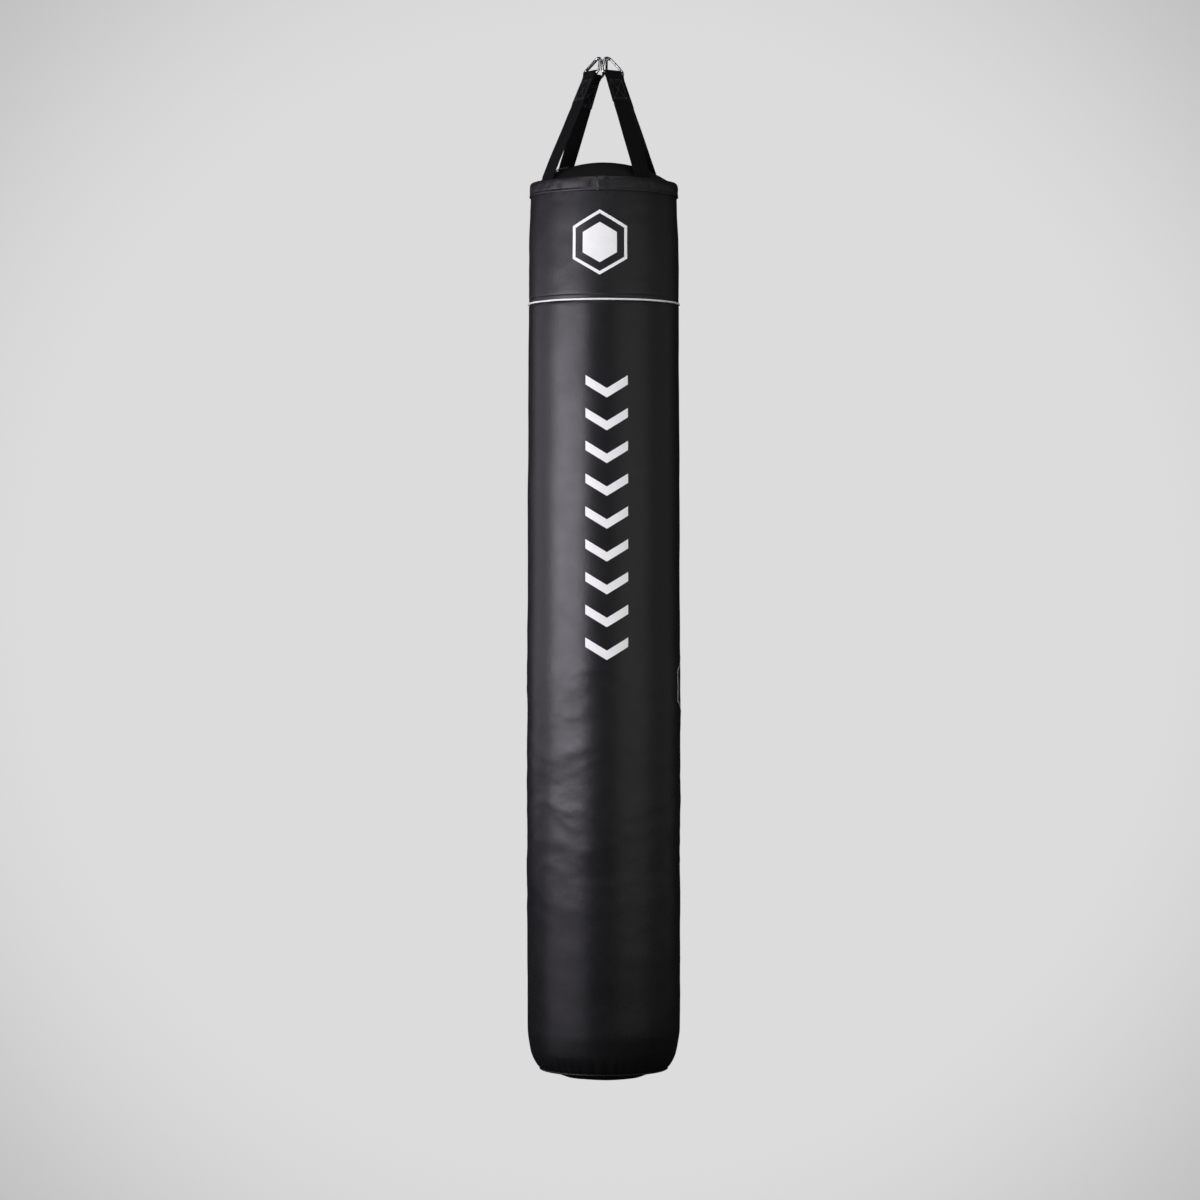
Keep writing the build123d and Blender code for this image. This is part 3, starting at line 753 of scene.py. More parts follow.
PANEL_RADIUS = 0.146
PANEL_TOP = rim_z - 0.0022
TOPSTITCH_RISE = 0.011
HEM_HEIGHT = 0.028
PANEL_DIP = 0.0021            # how far the panel dips into its lower seam
PANEL_GAP = 0.0006
PANEL_BULGE = 0.0016


def panel_plain(z):
    t = (PANEL_TOP - z) / (PANEL_TOP - seam_z)
    middle = (PANEL_RADIUS + SEAM_RADIUS) / 2 + PANEL_BULGE
    return (PANEL_RADIUS * (1 - t) * (1 - 2 * t) + 4 * middle * t * (1 - t)
            + SEAM_RADIUS * t * (2 * t - 1))


def panel_swell(angle, z):
    up = z - seam_z
    lumps = 0.0011 * wander(angle, z, 1.5, 13.0) + 0.0006 * wander(angle, z, 3.6, 17.0)
    under_hem = 0.0005 * pucker(angle, abs(rim_z - HEM_HEIGHT - z), 60, 19.0)
    across = 0.00022 * crease(angle, z, 2.2, 26.0, 23.0)
    seam_turn = -PANEL_DIP * bell(up, 0.0022)
    groove = -0.0006 * bell(up - TOPSTITCH_RISE, 0.0013)
    tucks = 0.0003 * pucker(angle, abs(up - TOPSTITCH_RISE), 110, 27.0)
    return lumps + under_hem + across + seam_turn + groove + tucks


PANEL_NEAR = [0.0, 0.0008, 0.0016, 0.0026, 0.004, 0.0058, 0.0076, 0.009, 0.0098, 0.0104, 0.011, 0.0116,
              0.0122, 0.0132, 0.0148, 0.0175, 0.021]
PANEL_ROWS = rows_down(PANEL_NEAR, PANEL_TOP - seam_z, 70)
UNDER_HEM = PANEL_TOP - seam_z - 0.026


def panel_place(row, spoke):
    angle = 2 * pi * spoke / SPOKES
    if row == 0:
        return skin_point(angle, SEAM_RADIUS - PANEL_DIP - LIP, seam_z + PANEL_GAP)
    z = seam_z + PANEL_GAP + PANEL_ROWS[row - 1] * 0.9975
    return skin_point(angle, panel_plain(z) + panel_swell(angle, z), z)


def panel_cut(row, spoke):
    """Where a point of the panel lay when it was sewn, a little smaller round and longer."""
    place = panel_place(row, spoke)
    slack = 0.010 * (place.z - seam_z)
    return Vector((place.x * GIVE, place.y * GIVE, place.z + slack))


top_band = grid_mesh("top_band", len(PANEL_ROWS) + 1, SPOKES, panel_place)
face_outwards(top_band)
panel_rows = range(len(PANEL_ROWS) + 1)
held_rows = [row for row in panel_rows if row < 4 or PANEL_ROWS[row - 1] > UNDER_HEM]
sewn = [panel_cut(row, spoke) for row in panel_rows for spoke in range(SPOKES)]
settle(top_band, sewn, grid_points(held_rows), 14, 8.0, 0.0025)
top_band.data.materials.append(leather_finish("panel_leather", tone=0.010, gloss=0.38))
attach(top_band, "bag")
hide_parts("top_panel")


def ring_stitches(z, radius_at):
    """Stitches round the bag at a height, on a radius that may change with the angle."""
    found = []
    count = int(2 * pi * radius_at(0.0) / STITCH_PITCH)
    for i in range(count):
        a = 2 * pi * i / count
        b = a + STITCH_LENGTH / radius_at(a)
        outward = Vector((cos(a), sin(a), 0))
        found.append((skin_point(a, radius_at(a), z), skin_point(b, radius_at(b), z), outward))
    return found


def topstitch_radius(angle):
    return panel_plain(topstitch_z) + panel_swell(angle, topstitch_z) + 0.00015


topstitch_z = seam_z + TOPSTITCH_RISE
panel_stitches = stitch_mesh("panel_stitches", ring_stitches(topstitch_z, topstitch_radius))
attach(panel_stitches, "bag")


# ---- White piping -----------------------------------------------------------------------------
# White vinyl wrapped round a cord and caught in the seam between the top panel and the tube.

PIPING = 0.0019


def vinyl_finish():
    material, add, surface, feed = finish("white_vinyl")
    place = add("TexCoord").outputs["Object"]
    dust = add("TexNoise", {"Vector": place, "Scale": 45.0, "Detail": 6.0})
    feed("Base Color", ramp(add, dust.outputs["Fac"], (0.82, 0.82, 0.81), (0.93, 0.93, 0.92)))
    grain = add("TexVoronoi", {"Vector": place, "Scale": 900.0})
    skin = add("Bump", {"Height": grain.outputs["Distance"], "Distance": 0.0001, "Strength": 0.4})
    feed("Normal", skin.outputs[0])
    set_surface(surface, roughness=0.42)
    return material


piping = cord_ring("white_piping", SEAM_RADIUS + 0.0008, seam_z + 0.0001, PIPING, 0.0005, 90.0)
piping.data.materials.append(vinyl_finish())
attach(piping, "bag")
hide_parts("seam_piping")


# ---- Rim hem ----------------------------------------------------------------------------------
# A strip of leather folded over the top edge and sewn through, a little wavy where the straps'
# stitching pulls it in. Its two ends lap at the front.

HEM_SPOKES = 480
HEM_LEATHER = 0.0016
LAP_ANGLE = radians(-94.5)
LAP_SPAN = radians(9.0)
HEM_STITCH = 0.0215           # below the rim
HEM_SINK = 0.0009
strap_angles = {}
for strap_node in [n for n in frame["nodes"] if n.startswith("strap_anchor_")]:
    low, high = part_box(strap_node)
    strap_angles[strap_node[len("strap_anchor_"):]] = atan2(low.y + high.y, low.x + high.x)
hem_out_radius = hem_high.x - 0.0015


def angle_gap(a, b):
    return (a - b + pi) % (2 * pi) - pi


# Section of the folded strip from its outside foot, over the top, to its inside foot: how far it
# stands outside the rim's radius, and its height, in millimetres.
HEM_OUTLINE = [(1.9, -28.0), (2.1, -27.2), (1.9, -25.0), (1.6, -23.0), (1.40, -22.1), (0.9, -21.5),
               (1.22, -20.9), (1.25, -20.0), (1.25, -17.0), (1.15, -13.0), (0.95, -9.0), (0.65, -5.0),
               (0.2, -2.6), (-0.45, -1.1), (-1.5, -0.25), (-2.8, 0.0), (-4.0, -0.2), (-5.0, -1.0),
               (-5.6, -2.4), (-5.8, -5.0), (-5.8, -12.0), (-5.8, -20.0), (-5.8, -27.5), (-5.0, -28.0)]


def hem_swell(angle, z_mm):
    """How far the hem stands in or out at an angle and height: waves, tucks and strap dimples."""
    wave = 0.0010 * wander(angle, 0.0, 2.4, 101.0) + 0.0006 * wander(angle, z_mm * 0.004, 5.0, 105.0)
    puff = 0.0006 * bell(z_mm / 1000 + 0.009, 0.007) * (1 + wander(angle, 0.0, 3.5, 109.0))
    tucks = 0.00016 * pucker(angle, abs(z_mm / 1000 + HEM_STITCH), 52, 111.0)
    pull = 0.0
    for base in strap_angles.values():
        gap = angle_gap(angle, base) * hem_out_radius
        for spot in (-0.013, 0.013):
            pull -= 0.0011 * bell(hypot(gap - spot, z_mm / 1000 + 0.013), 0.0055)
    by_lap = angle_gap(angle, LAP_ANGLE) * hem_out_radius
    for spot, depth in ((-0.012, 0.0016), (0.020, 0.0010), (-0.085, 0.0012)):
        pull -= depth * bell(hypot((by_lap - spot) * 0.8, (z_mm / 1000 + 0.012) * 0.5), 0.0050)
    return wave + puff + tucks + pull


def lap_step(angle):
    """1 on the strip's upper end, where it lies over the other, with a sharp edge on one side."""
    gap = angle_gap(angle, LAP_ANGLE)
    if 0 <= gap <= LAP_SPAN:
        return 1 - smooth(gap, LAP_SPAN * 0.55, LAP_SPAN)
    return 0.0


def hem_place(row, spoke):
    angle = 2 * pi * spoke / HEM_SPOKES
    out_mm, z_mm = HEM_OUTLINE[row]
    outer = z_mm > -0.3 or out_mm > -1.6
    swell = hem_swell(angle, z_mm) if outer else 0.3 * hem_swell(angle, z_mm)
    lap = HEM_LEATHER * 0.9 * lap_step(angle) if outer else 0.0
    if row == 0:
        swell -= 0.0012
    rise = 0.0009 * wander(angle, 0.0, 1.7, 120.0) + 0.0005 * wander(angle, 0.0, 5.0, 123.0) + 0.5 * lap
    top_share = smooth(z_mm, -24.0, 0.0)
    return skin_point(angle, hem_out_radius + out_mm / 1000 + swell + lap,
                      rim_z - HEM_SINK + z_mm / 1000 + rise * top_share)


hem = grid_mesh("rim_strip", len(HEM_OUTLINE), HEM_SPOKES, hem_place)
face_outwards(hem)
hem.data.materials.append(leather_finish("hem_leather", tone=0.012, gloss=0.40, grain=0.0002))
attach(hem, "bag")
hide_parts("rim_hem")


def hem_stitch_radius(angle):
    lap = HEM_LEATHER * 0.9 * lap_step(angle)
    return hem_out_radius + 0.00105 + hem_swell(angle, -21.5) + lap


hem_stitches = stitch_mesh("rim_stitches", ring_stitches(rim_z - HEM_SINK - HEM_STITCH, hem_stitch_radius))
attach(hem_stitches, "bag")


# ---- Printed marks ----------------------------------------------------------------------------
# Thin white vinyl pressed onto the leather: a hexagon on the top panel, a column of chevrons down
# the front of the tube, and a thin hexagon outline on the right side.

VINYL = 0.0003
MARK_RADIUS = 0.1525          # that a flat mark is wrapped round


def bake(thing, sharp=40.0):
    """Applies a piece's modifiers, so that its mesh is final, and keeps its real edges crisp."""
    done = bpy.data.meshes.new_from_object(thing.evaluated_get(bpy.context.evaluated_depsgraph_get()))
    thing.modifiers.clear()
    thing.data = done
    done.set_sharp_from_angle(angle=radians(sharp))


def skin_tree(*things):
    """Search tree over the leather, for laying thin pieces on it."""
    form = bmesh.new()
    for thing in things:
        form.from_mesh(thing.data)
    tree = BVHTree.FromBMesh(form)
    form.free()
    return tree


leather_skin = skin_tree(main_tube, top_band)


def on_skin(angle, z, proud):
    """Point on the leather at an angle and height, standing a little proud of it."""
    out = Vector((cos(angle), sin(angle), 0))
    hit, normal, _, _ = leather_skin.ray_cast(Vector((0, 0, z)) + out * 0.3, -out)
    if normal.dot(out) < 0:
        normal = -normal
    return hit + normal * proud


def vinyl_patches(name, patches, centre_angle, centre_z, material):
    """Thin vinyl from four-sided patches drawn flat. Each is (corners, columns, rows), its corners
    being (across, up) in metres."""
    points, faces = [], []
    for corners, columns, rows in patches:
        first = len(points)
        a, b, c, d = [Vector(corner) for corner in corners]
        for row in range(rows + 1):
            for column in range(columns + 1):
                u, v = column / columns, row / rows
                flat = a.lerp(b, u).lerp(d.lerp(c, u), v)
                points.append(on_skin(centre_angle + flat.x / MARK_RADIUS, centre_z + flat.y, VINYL))
        for row in range(rows):
            for column in range(columns):
                i = first + row * (columns + 1) + column
                faces.append((i, i + 1, i + columns + 2, i + columns + 1))
    mesh = bpy.data.meshes.new(name)
    mesh.from_pydata(points, [], faces)
    form = bmesh.new()
    form.from_mesh(mesh)
    bmesh.ops.remove_doubles(form, verts=form.verts, dist=1e-5)
    bmesh.ops.recalc_face_normals(form, faces=form.faces)
    form.to_mesh(mesh)
    form.free()
    mesh.shade_smooth()
    made = bpy.data.objects.new(name, mesh)
    scene.collection.objects.link(made)
    solid = made.modifiers.new("vinyl", "SOLIDIFY")
    solid.thickness = VINYL * 0.8
    solid.offset = -1.0
    mesh.materials.append(material)
    bake(made)
    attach(made, "bag")
    return made


def print_finish():
    material, add, surface, feed = finish("pressed_white_vinyl")
    place = add("TexCoord").outputs["Object"]
    cloud = add("TexNoise", {"Vector": place, "Scale": 60.0, "Detail": 5.0, "Roughness": 0.6})
    feed("Base Color", ramp(add, cloud.outputs["Fac"], (0.80, 0.81, 0.80), (0.92, 0.93, 0.91)))
    grain = add("TexVoronoi", {"Vector": place, "Scale": 560.0}, feature="SMOOTH_F1")
    skin = add("Bump", {"Height": grain.outputs["Distance"], "Distance": 0.00012, "Strength": 0.4})
    feed("Normal", skin.outputs[0])
    set_surface(surface, roughness=0.48)
    return material


white_print = print_finish()
FRONT = -pi / 2


def hexagon(radius):
    """Corners of a hexagon that stands on its point."""
    turns = [radians(60 * i + 30) for i in range(6)]
    return [Vector((radius * cos(turn), radius * sin(turn))) for turn in turns]


def hexagon_ring(outer, inner):
    big, small = hexagon(outer), hexagon(inner)
    return [((small[i], small[(i + 1) % 6], big[(i + 1) % 6], big[i]), 14, 2) for i in range(6)]


def solid_hexagon(radius):
    ring = hexagon(radius)
    middle = Vector((0, 0))
    return [((middle, ring[i], ring[i + 1], ring[(i + 2) % 6]), 8, 8) for i in (0, 2, 4)]


EMBLEM_Z = -0.3826
EMBLEM_SIDE = -0.008
emblem = hexagon_ring(0.0645, 0.0575) + solid_hexagon(0.0400)
vinyl_patches("front_hexagon", emblem, FRONT + EMBLEM_SIDE / 0.15, EMBLEM_Z, white_print)

CHEVRONS = 9
CHEVRON_TOP = -0.6456
CHEVRON_FOOT = -1.209
CHEVRON_HALF = 0.0425
CHEVRON_DROP = 0.026
CHEVRON_STROKE = 0.0185
pitch = (CHEVRON_TOP - CHEVRON_FOOT - CHEVRON_DROP - CHEVRON_STROKE) / (CHEVRONS - 1)
chevrons = []
for i in range(CHEVRONS):
    top = -i * pitch
    for side in (-1, 1):
        outer_top, inner_top = Vector((side * CHEVRON_HALF, top)), Vector((0, top - CHEVRON_DROP))
        stroke = Vector((0, -CHEVRON_STROKE))
        chevrons.append(((outer_top, inner_top, inner_top + stroke, outer_top + stroke), 10, 5))
vinyl_patches("front_chevrons", chevrons, FRONT + 0.006 / 0.1535, CHEVRON_TOP, white_print)

SIDE_MARK_Z = -1.262
SIDE_MARK_ANGLE = radians(3.0)
vinyl_patches("side_hexagon", hexagon_ring(0.062, 0.0596), SIDE_MARK_ANGLE, SIDE_MARK_Z, white_print)


# ---- Lid --------------------------------------------------------------------------------------
# Two halves of black nylon cloth, domed over a foam pad and sewn to the inside of the rim, with a
# zip between them that runs from left to right.

LID_RISE = 0.042
LID_RADIUS = 0.136
LID_CUT = 0.1355              # the cloth's own radius, just inside the rim
lid_sphere = (LID_RADIUS ** 2 + LID_RISE ** 2) / (2 * LID_RISE)
lid_centre = rim_z + LID_RISE - lid_sphere
SLOT_HALF = 0.004
LID_COLUMNS = 120
LID_ROWS = 34
SKIRT_ROWS = 6
SKIRT_DROP = 0.024            # the part sewn down inside the rim


def cloth_finish(name, tone=0.006):
    material, add, surface, feed = finish(name)
    place = add("TexCoord").outputs["Object"]
    cloud = add("TexNoise", {"Vector": place, "Scale": 22.0, "Detail": 5.0})
    pale = (tone * 1.5, tone * 1.5, tone * 1.6)
    feed("Base Color", ramp(add, cloud.outputs["Fac"], (tone * 0.7,) * 3, pale))
    warp = add("TexWave", {"Vector": place, "Scale": 330.0, "Distortion": 0.5}, bands_direction="X")
    weft = add("TexWave", {"Vector": place, "Scale": 330.0, "Distortion": 0.5}, bands_direction="Y")
    cross = add("Math", {0: warp.outputs["Fac"], 1: weft.outputs["Fac"]}, operation="MAXIMUM")
    weave = add("Bump", {"Height": cross.outputs[0], "Distance": 0.0003, "Strength": 0.6})
    feed("Normal", weave.outputs[0])
    set_surface(surface, roughness=0.6, specular_ior_level=0.22, sheen_weight=0.01, sheen_roughness=0.4)
    return material


def dome_z(x, y):
    return lid_centre + sqrt(lid_sphere ** 2 - x * x - y * y)


def lid_half(name, node, side):
    """Half the lid, from its turned edge along the zip, over the dome and down inside the rim."""
    start = asin(SLOT_HALF / LID_RADIUS)

    def place(row, spoke):
        angle = start + (pi - 2 * start) * spoke / (LID_COLUMNS - 1)
        x = LID_CUT * cos(angle)
        far = max(LID_CUT * sin(angle), SLOT_HALF + 0.0002)
        if row < 2:
            share, sink = 0.0, (0.0012, 0.0004)[row]
        else:
            share, sink = (row - 2) / (LID_ROWS - 3), 0.0
        if row < LID_ROWS:
            y = SLOT_HALF + (far - SLOT_HALF) * share
            spoke_angle = atan2(y * side, x)
            edge = LID_CUT - hypot(x, y)
            fold = 0.0008 * wander(spoke_angle, hypot(x, y) * 2, 3.0, 140.0)
            fold += 0.0016 * abs(wander(spoke_angle, 0.0, 8.0, 144.0)) * exp(-edge / 0.03)
            sag = -0.0006 * bell(y - 0.012, 0.006)
            z = dome_z(x, y) - sink - max(fold, 0) + sag
            return Vector((x, y * side, min(z, dome_z(x, y))))
        drop = (row - LID_ROWS + 1) / SKIRT_ROWS
        return Vector((x, far * side, dome_z(x, far) - SKIRT_DROP * drop))
    half = grid_mesh(name, LID_ROWS + SKIRT_ROWS, LID_COLUMNS, place, closed=False)
    if sum(face.normal.z * face.area for face in half.data.polygons) < 0:
        half.data.flip_normals()
    held = [row * LID_COLUMNS + spoke
            for row in range(LID_ROWS + SKIRT_ROWS) for spoke in range(LID_COLUMNS)
            if row < 3 or row > LID_ROWS or spoke in (0, LID_COLUMNS - 1)]
    sewn = [Vector((v.co.x * 1.012, v.co.y * 1.02, v.co.z)) for v in half.data.vertices]
    settle(half, sewn, held, 14, 3.0, 0.0025)
    for vertex in half.data.vertices:
        over = hypot(vertex.co.x, vertex.co.y, vertex.co.z - lid_centre) - lid_sphere
        if over > 0:
            vertex.co.z -= over
    half.data.materials.append(lid_cloth)
    thick = half.modifiers.new("cloth", "SOLIDIFY")
    thick.thickness = 0.0011
    thick.offset = -1.0
    bake(half, sharp=60.0)
    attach(half, "bag")
    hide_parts(node)
    return half


lid_cloth = cloth_finish("lid_nylon")
lid_half("front_lid_cloth", "lid_front", -1)
lid_half("back_lid_cloth", "lid_back", 1)


# ---- Zip --------------------------------------------------------------------------------------
# Woven tapes under the lid's edges, with a moulded coil of interlocking teeth between them, a metal
# stop at each end, and a plated slider with its pull tab.

ZIP_HALF = 0.108
ZIP_HALF_ANGLE = asin(ZIP_HALF / lid_sphere)
TAPE_OVERRUN = 0.104          # radians past the teeth, to the rim
TAPE_ROWS = 121


def zip_point(angle, y, up):
    """Point on the zip's arc over the lid, at an angle from the crown, a height above the cloth."""
    reach = lid_sphere + up
    return Vector((reach * sin(angle), y, lid_centre + reach * cos(angle)))


def cap_ends(strip, rows, count):
    """Closes both ends of a strip whose rows run round it, with a number of points in each."""
    form = bmesh.new()
    form.from_mesh(strip.data)
    form.verts.ensure_lookup_table()
    for first in (0, (rows - 1) * count):
        form.faces.new([form.verts[first + i] for i in range(count)])
    bmesh.ops.recalc_face_normals(form, faces=form.faces)
    form.to_mesh(strip.data)
    form.free()


def tape(name, node, side):
    section = [(0.0004, -0.0021), (0.0004, -0.0018), (0.003, -0.0018), (0.012, -0.0018), (0.0128, -0.0020),
               (0.0128, -0.0025), (0.003, -0.0026), (0.0004, -0.0025)]

    def place(row, spoke):
        angle = (ZIP_HALF_ANGLE + TAPE_OVERRUN) * (2 * row / (TAPE_ROWS - 1) - 1)
        y, up = section[spoke]
        return zip_point(angle, y * side, up)
    strip = grid_mesh(name, TAPE_ROWS, len(section), place)
    cap_ends(strip, TAPE_ROWS, len(section))
    strip.data.materials.append(cloth_finish(name + "_weave", tone=0.009))
    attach(strip, "bag")
    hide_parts(node)
    return strip


tape("front_tape", "zip_tape_front", -1)
tape("back_tape", "zip_tape_back", 1)


def tooth_finish():
    material, add, _, feed = finish("coil_nylon")
    place = add("TexCoord").outputs["Object"]
    wear = add("TexNoise", {"Vector": place, "Scale": 240.0, "Detail": 3.0})
    feed("Base Color", ramp(add, wear.outputs["Fac"], (0.012, 0.012, 0.013), (0.035, 0.035, 0.038)))
    shine = add("MapRange", {"Value": wear.outputs["Fac"], "To Min": 0.32, "To Max": 0.5})
    feed("Roughness", shine.outputs[0])
    return material


TOOTH_PITCH = 0.0021
TOOTH = (0.00095, 0.0034, 0.0014, 1.0)
tooth_form = bmesh.new()
tooth_count = int(2 * ZIP_HALF_ANGLE * lid_sphere / TOOTH_PITCH)
for i in range(tooth_count):
    for side in (-1, 1):
        angle = -ZIP_HALF_ANGLE + (i + 0.5 + 0.25 * side) * TOOTH_PITCH / lid_sphere
        where = Matrix.Translation(zip_point(angle, side * 0.0009, -0.0007))
        shape = where @ Matrix.Rotation(angle, 4, "Y") @ Matrix.Diagonal(TOOTH)
        bmesh.ops.create_icosphere(tooth_form, subdivisions=1, radius=0.5, matrix=shape)
tooth_mesh = bpy.data.meshes.new("zip_coil")
tooth_form.to_mesh(tooth_mesh)
tooth_form.free()
tooth_mesh.shade_smooth()
zip_coil = bpy.data.objects.new("zip_coil", tooth_mesh)
scene.collection.objects.link(zip_coil)
tooth_mesh.materials.append(tooth_finish())
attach(zip_coil, "bag")
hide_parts("zip_teeth")


def zip_metal_finish():
    material, add, surface, feed = finish("plated_zinc")
    place = add("TexCoord").outputs["Object"]
    rub = add("TexNoise", {"Vector": place, "Scale": 420.0, "Detail": 5.0})
    feed("Base Color", ramp(add, rub.outputs["Fac"], (0.22, 0.22, 0.23), (0.48, 0.48, 0.50)))
    shine = add("MapRange", {"Value": rub.outputs["Fac"], "To Min": 0.22, "To Max": 0.42})
    feed("Roughness", shine.outputs[0])
    pits = add("Bump", {"Height": rub.outputs["Fac"], "Distance": 0.00006, "Strength": 0.5})
    feed("Normal", pits.outputs[0])
    set_surface(surface, metallic=1.0)
    return material


zip_metal = zip_metal_finish()
for node in ("zip_end_stops", "zip_slider", "zip_pull_tab"):
    dress(node, zip_metal)


# ---- Straps -----------------------------------------------------------------------------------
# Four lengths of black polyester webbing. Each tail is sewn down inside the rim; the strap rises over
# the lid, passes through its ring, and is turned back and sewn to itself in a crossed box.

WEBBING_WIDTH = 0.038
WEBBING = 0.0021              # its thickness
WIRE = 0.0025                 # radius of the rings' wire
BEND = 0.010                  # reach of the bend at the rim, on each side of the hinge
LAP_LENGTH = 0.072
TAIL_LENGTH = 0.085
BOX_PITCH = 0.0036            # of the stitches in the crossed box
joint_of = {joint["name"]: joint for joint in frame["joints"]}


def webbing_finish():
    material, add, surface, feed = finish("black_webbing")
    spot = add("UVMap", uv_map="webbing")
    parts = add("SeparateXYZ", {"Vector": spot.outputs[0]})
    cords = add("Math", {0: parts.outputs["X"], 1: 2 * pi / 0.0019}, operation="MULTIPLY")
    ribs = add("Math", {0: cords.outputs[0]}, operation="SINE")
    picks_run = add("Math", {0: parts.outputs["Y"], 1: 2 * pi / 0.0026}, operation="MULTIPLY")
    half_cords = add("Math", {0: cords.outputs[0], 1: 0.5}, operation="MULTIPLY")
    shift = add("Math", {0: half_cords.outputs[0]}, operation="SINE")
    sway = add("Math", {0: shift.outputs[0], 1: 1.6}, operation="MULTIPLY")
    picks_phase = add("Math", {0: picks_run.outputs[0], 1: sway.outputs[0]}, operation="ADD")
    picks = add("Math", {0: picks_phase.outputs[0]}, operation="SINE")
    weave = add("Math", {0: ribs.outputs[0], 1: picks.outputs[0]}, operation="ADD")
    relief = add("Bump", {"Height": weave.outputs[0], "Distance": 0.00022, "Strength": 0.8})
    feed("Normal", relief.outputs[0])
    place = add("TexCoord").outputs["Object"]
    lint = add("TexNoise", {"Vector": place, "Scale": 55.0, "Detail": 6.0, "Roughness": 0.7})
    feed("Base Color", ramp(add, lint.outputs["Fac"], (0.0018, 0.0018, 0.0020), (0.0055, 0.0055, 0.0060)))
    set_surface(surface, roughness=0.85, specular_ior_level=0.14, sheen_weight=0.01, sheen_roughness=0.45)
    return material


black_webbing = webbing_finish()
dress("rim_webbing_band", liner)


def strap_axes(corner):
    """Hinge and bar centres of a strap, with the directions across it, along it and out of it."""
    fold = joint_of[corner + "_strap_fold"]
    turn = joint_of[corner + "_ring_turn"]
    hinge, bar = Vector(fold["pos_m"]), Vector(turn["pos_m"])
    across = Vector(fold["axis"]).normalized()
    along = (bar - hinge).normalized()
    return hinge, bar, across, along, across.cross(along).normalized()


def strap_route(hinge, bar, along, out):
    """The webbing's middle line from its inside tail, up to the ring, round its bar and back down."""
    down = Vector((0, 0, -1))
    half = WEBBING / 2 + 0.0001
    length = (bar - hinge).length
    route = []
    for i in range(13):
        route.append(hinge + down * (TAIL_LENGTH * (1 - i / 12)))
    below, above = hinge + down * BEND, hinge + along * BEND
    route[-1] = below
    for i in range(1, 8):
        t = i / 8
        route.append(below * (1 - t) ** 2 + hinge * 2 * t * (1 - t) + above * t * t)
    run = length - LAP_LENGTH - 0.006
    for i in range(41):
        route.append(hinge + along * (BEND + (run - BEND) * i / 40))
    wrap = WIRE + 0.0003 + WEBBING / 2
    leave = 0.012
    for i in range(1, 9):
        t = i / 8
        route.append(hinge + along * (run + 0.010 * t) + out * (half * smooth(t, 0, 1)))
    for i in range(1, 19):
        t = i / 18
        at_z = run + 0.010 + (length - leave - run - 0.010) * t
        route.append(hinge + along * at_z + out * half)
    for i in range(1, 6):
        t = i / 6
        route.append(bar - along * (leave * (1 - t)) + out * (half + (wrap - half) * smooth(t, 0, 1)))
    for i in range(17):
        turn = pi * i / 16
        route.append(bar + out * (wrap * cos(turn)) + along * (wrap * sin(turn)))
    for i in range(1, 6):
        t = i / 6
        route.append(bar - along * (leave * t) - out * (wrap + (half - wrap) * smooth(t, 0, 1)))
    for i in range(20):
        t = i / 19
        route.append(bar - along * (leave + (LAP_LENGTH - leave - 0.003) * t) - out * half)
    return route


def strap_section():
    """Half a rounded webbing edge, mirrored: points as shares of the width and the thickness."""
    flat = [(-0.46 + 0.92 * i / 10, 0.5) for i in range(11)]
    edge = [(0.488, 0.36), (0.5, 0.0), (0.488, -0.36)]
    back = [(0.46 - 0.92 * i / 10, -0.5) for i in range(11)]
    other = [(-0.488, -0.36), (-0.5, 0.0), (-0.488, 0.36)]
    return flat + edge + back + other


STRAP_SECTION = strap_section()


def make_strap(corner, seed):
    """One strap, swept along its route, with the free part a little cupped and not quite straight."""
    hinge, bar, across, along, out = strap_axes(corner)
    route = strap_route(hinge, bar, along, out)
    travelled = [0.0]
    for a, b in zip(route, route[1:]):
        travelled.append(travelled[-1] + (b - a).length)
    normals = []
    for i in range(len(route)):
        ahead = route[min(i + 1, len(route) - 1)] - route[max(i - 1, 0)]
        normals.append(across.cross(ahead.normalized()).normalized())
    lap_start = (bar - hinge).length - LAP_LENGTH

    def place(row, spoke):
        share, thick = STRAP_SECTION[spoke]
        s = travelled[row]
        fray = 1 + 0.006 * noise.noise(Vector((s * 160, seed, share)))
        free = smooth(s, TAIL_LENGTH + 0.01, TAIL_LENGTH + 0.05)
        free *= 1 - smooth(s, TAIL_LENGTH + lap_start - 0.03, TAIL_LENGTH + lap_start)
        cup = 0.0011 * free * (4 * share * share - 0.5)
        lean = 0.0008 * free * noise.noise(Vector((s * 14, seed * 3.0, 0)))
        side = across * (share * WEBBING_WIDTH * fray)
        return route[row] + side + normals[row] * (thick * WEBBING + cup + lean)
    count = len(STRAP_SECTION)
    strap = grid_mesh("webbing_" + corner, len(route), count, place)
    cap_ends(strap, len(route), count)
    weave = strap.data.uv_layers.new(name="webbing")
    for loop in strap.data.loops:
        row, spoke = divmod(loop.vertex_index, count)
        weave.data[loop.index].uv = (STRAP_SECTION[spoke][0] * WEBBING_WIDTH, travelled[row])
    strap.data.materials.append(black_webbing)
    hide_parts("strap_" + corner, "strap_anchor_" + corner)
    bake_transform(strap)
    return strap


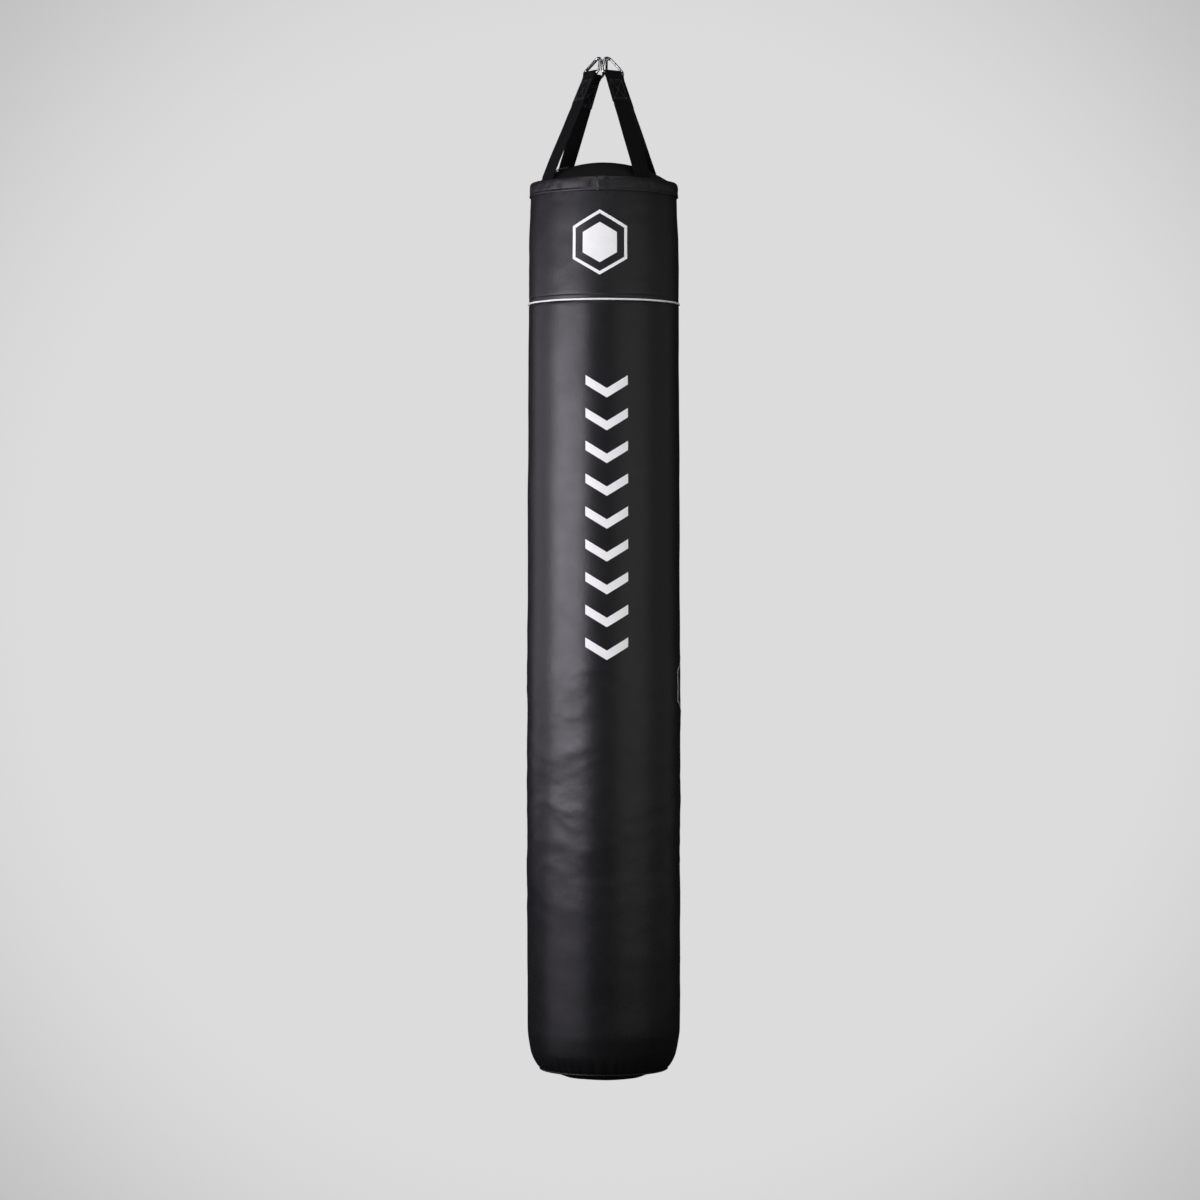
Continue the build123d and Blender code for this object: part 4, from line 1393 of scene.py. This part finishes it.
def box_stitches(corner):
    """Crossed box of stitching that closes the lap below a ring, on both faces."""
    _, bar, across, along, out = strap_axes(corner)
    half_width, top, foot = 0.0145, -0.018, -(LAP_LENGTH - 0.008)
    second = 0.0035           # between the two rows of stitches across each end
    corners = [(-half_width, top), (half_width, top), (half_width, foot), (-half_width, foot)]
    lines = [(corners[i], corners[(i + 1) % 4]) for i in range(4)]
    lines += [(corners[0], corners[2]), (corners[1], corners[3])]
    lines += [((-half_width, y), (half_width, y)) for y in (top - second, foot + second)]
    found = []
    for face in (-1, 1):
        for (x0, y0), (x1, y1) in lines:
            run = hypot(x1 - x0, y1 - y0)
            count = int(run / BOX_PITCH)
            for i in range(count):
                ends = []
                for t in ((i + 0.12) / count, (i + 0.88) / count):
                    x, y = x0 + (x1 - x0) * t, y0 + (y1 - y0) * t
                    ends.append(bar + across * x + along * y + out * (face * (WEBBING + 0.00035)))
                found.append((ends[0], ends[1], out * face))
    return found


for seed, corner in enumerate(sorted(strap_angles)):
    make_strap(corner, seed + 1.5)
    sewing = stitch_mesh("strap_sewing_" + corner, box_stitches(corner), thread=0.0005)
    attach(sewing, corner + "_strap")


# ---- Steel rings ------------------------------------------------------------------------------
# Four rings bent from bright plated 5 mm wire, one in each strap's loop. Their tips come together
# at the hang point, where the hook goes through.

def steel_finish():
    material, add, surface, feed = finish("bright_plated_steel")
    place = add("TexCoord").outputs["Object"]
    drawn = add("TexNoise", {"Vector": place, "Scale": 300.0, "Detail": 4.0})
    tarnish = add("TexNoise", {"Vector": place, "Scale": 70.0, "Detail": 5.0, "Roughness": 0.7})
    feed("Base Color", ramp(add, tarnish.outputs["Fac"], (0.62, 0.62, 0.63), (0.86, 0.86, 0.87)))
    shine = add("MapRange", {"Value": drawn.outputs["Fac"], "To Min": 0.10, "To Max": 0.24})
    feed("Roughness", shine.outputs[0])
    lines = add("Bump", {"Height": drawn.outputs["Fac"], "Distance": 0.00005, "Strength": 0.35})
    feed("Normal", lines.outputs[0])
    set_surface(surface, metallic=1.0)
    return material


bright_steel = steel_finish()
for corner in strap_angles:
    dress("ring_" + corner, bright_steel)
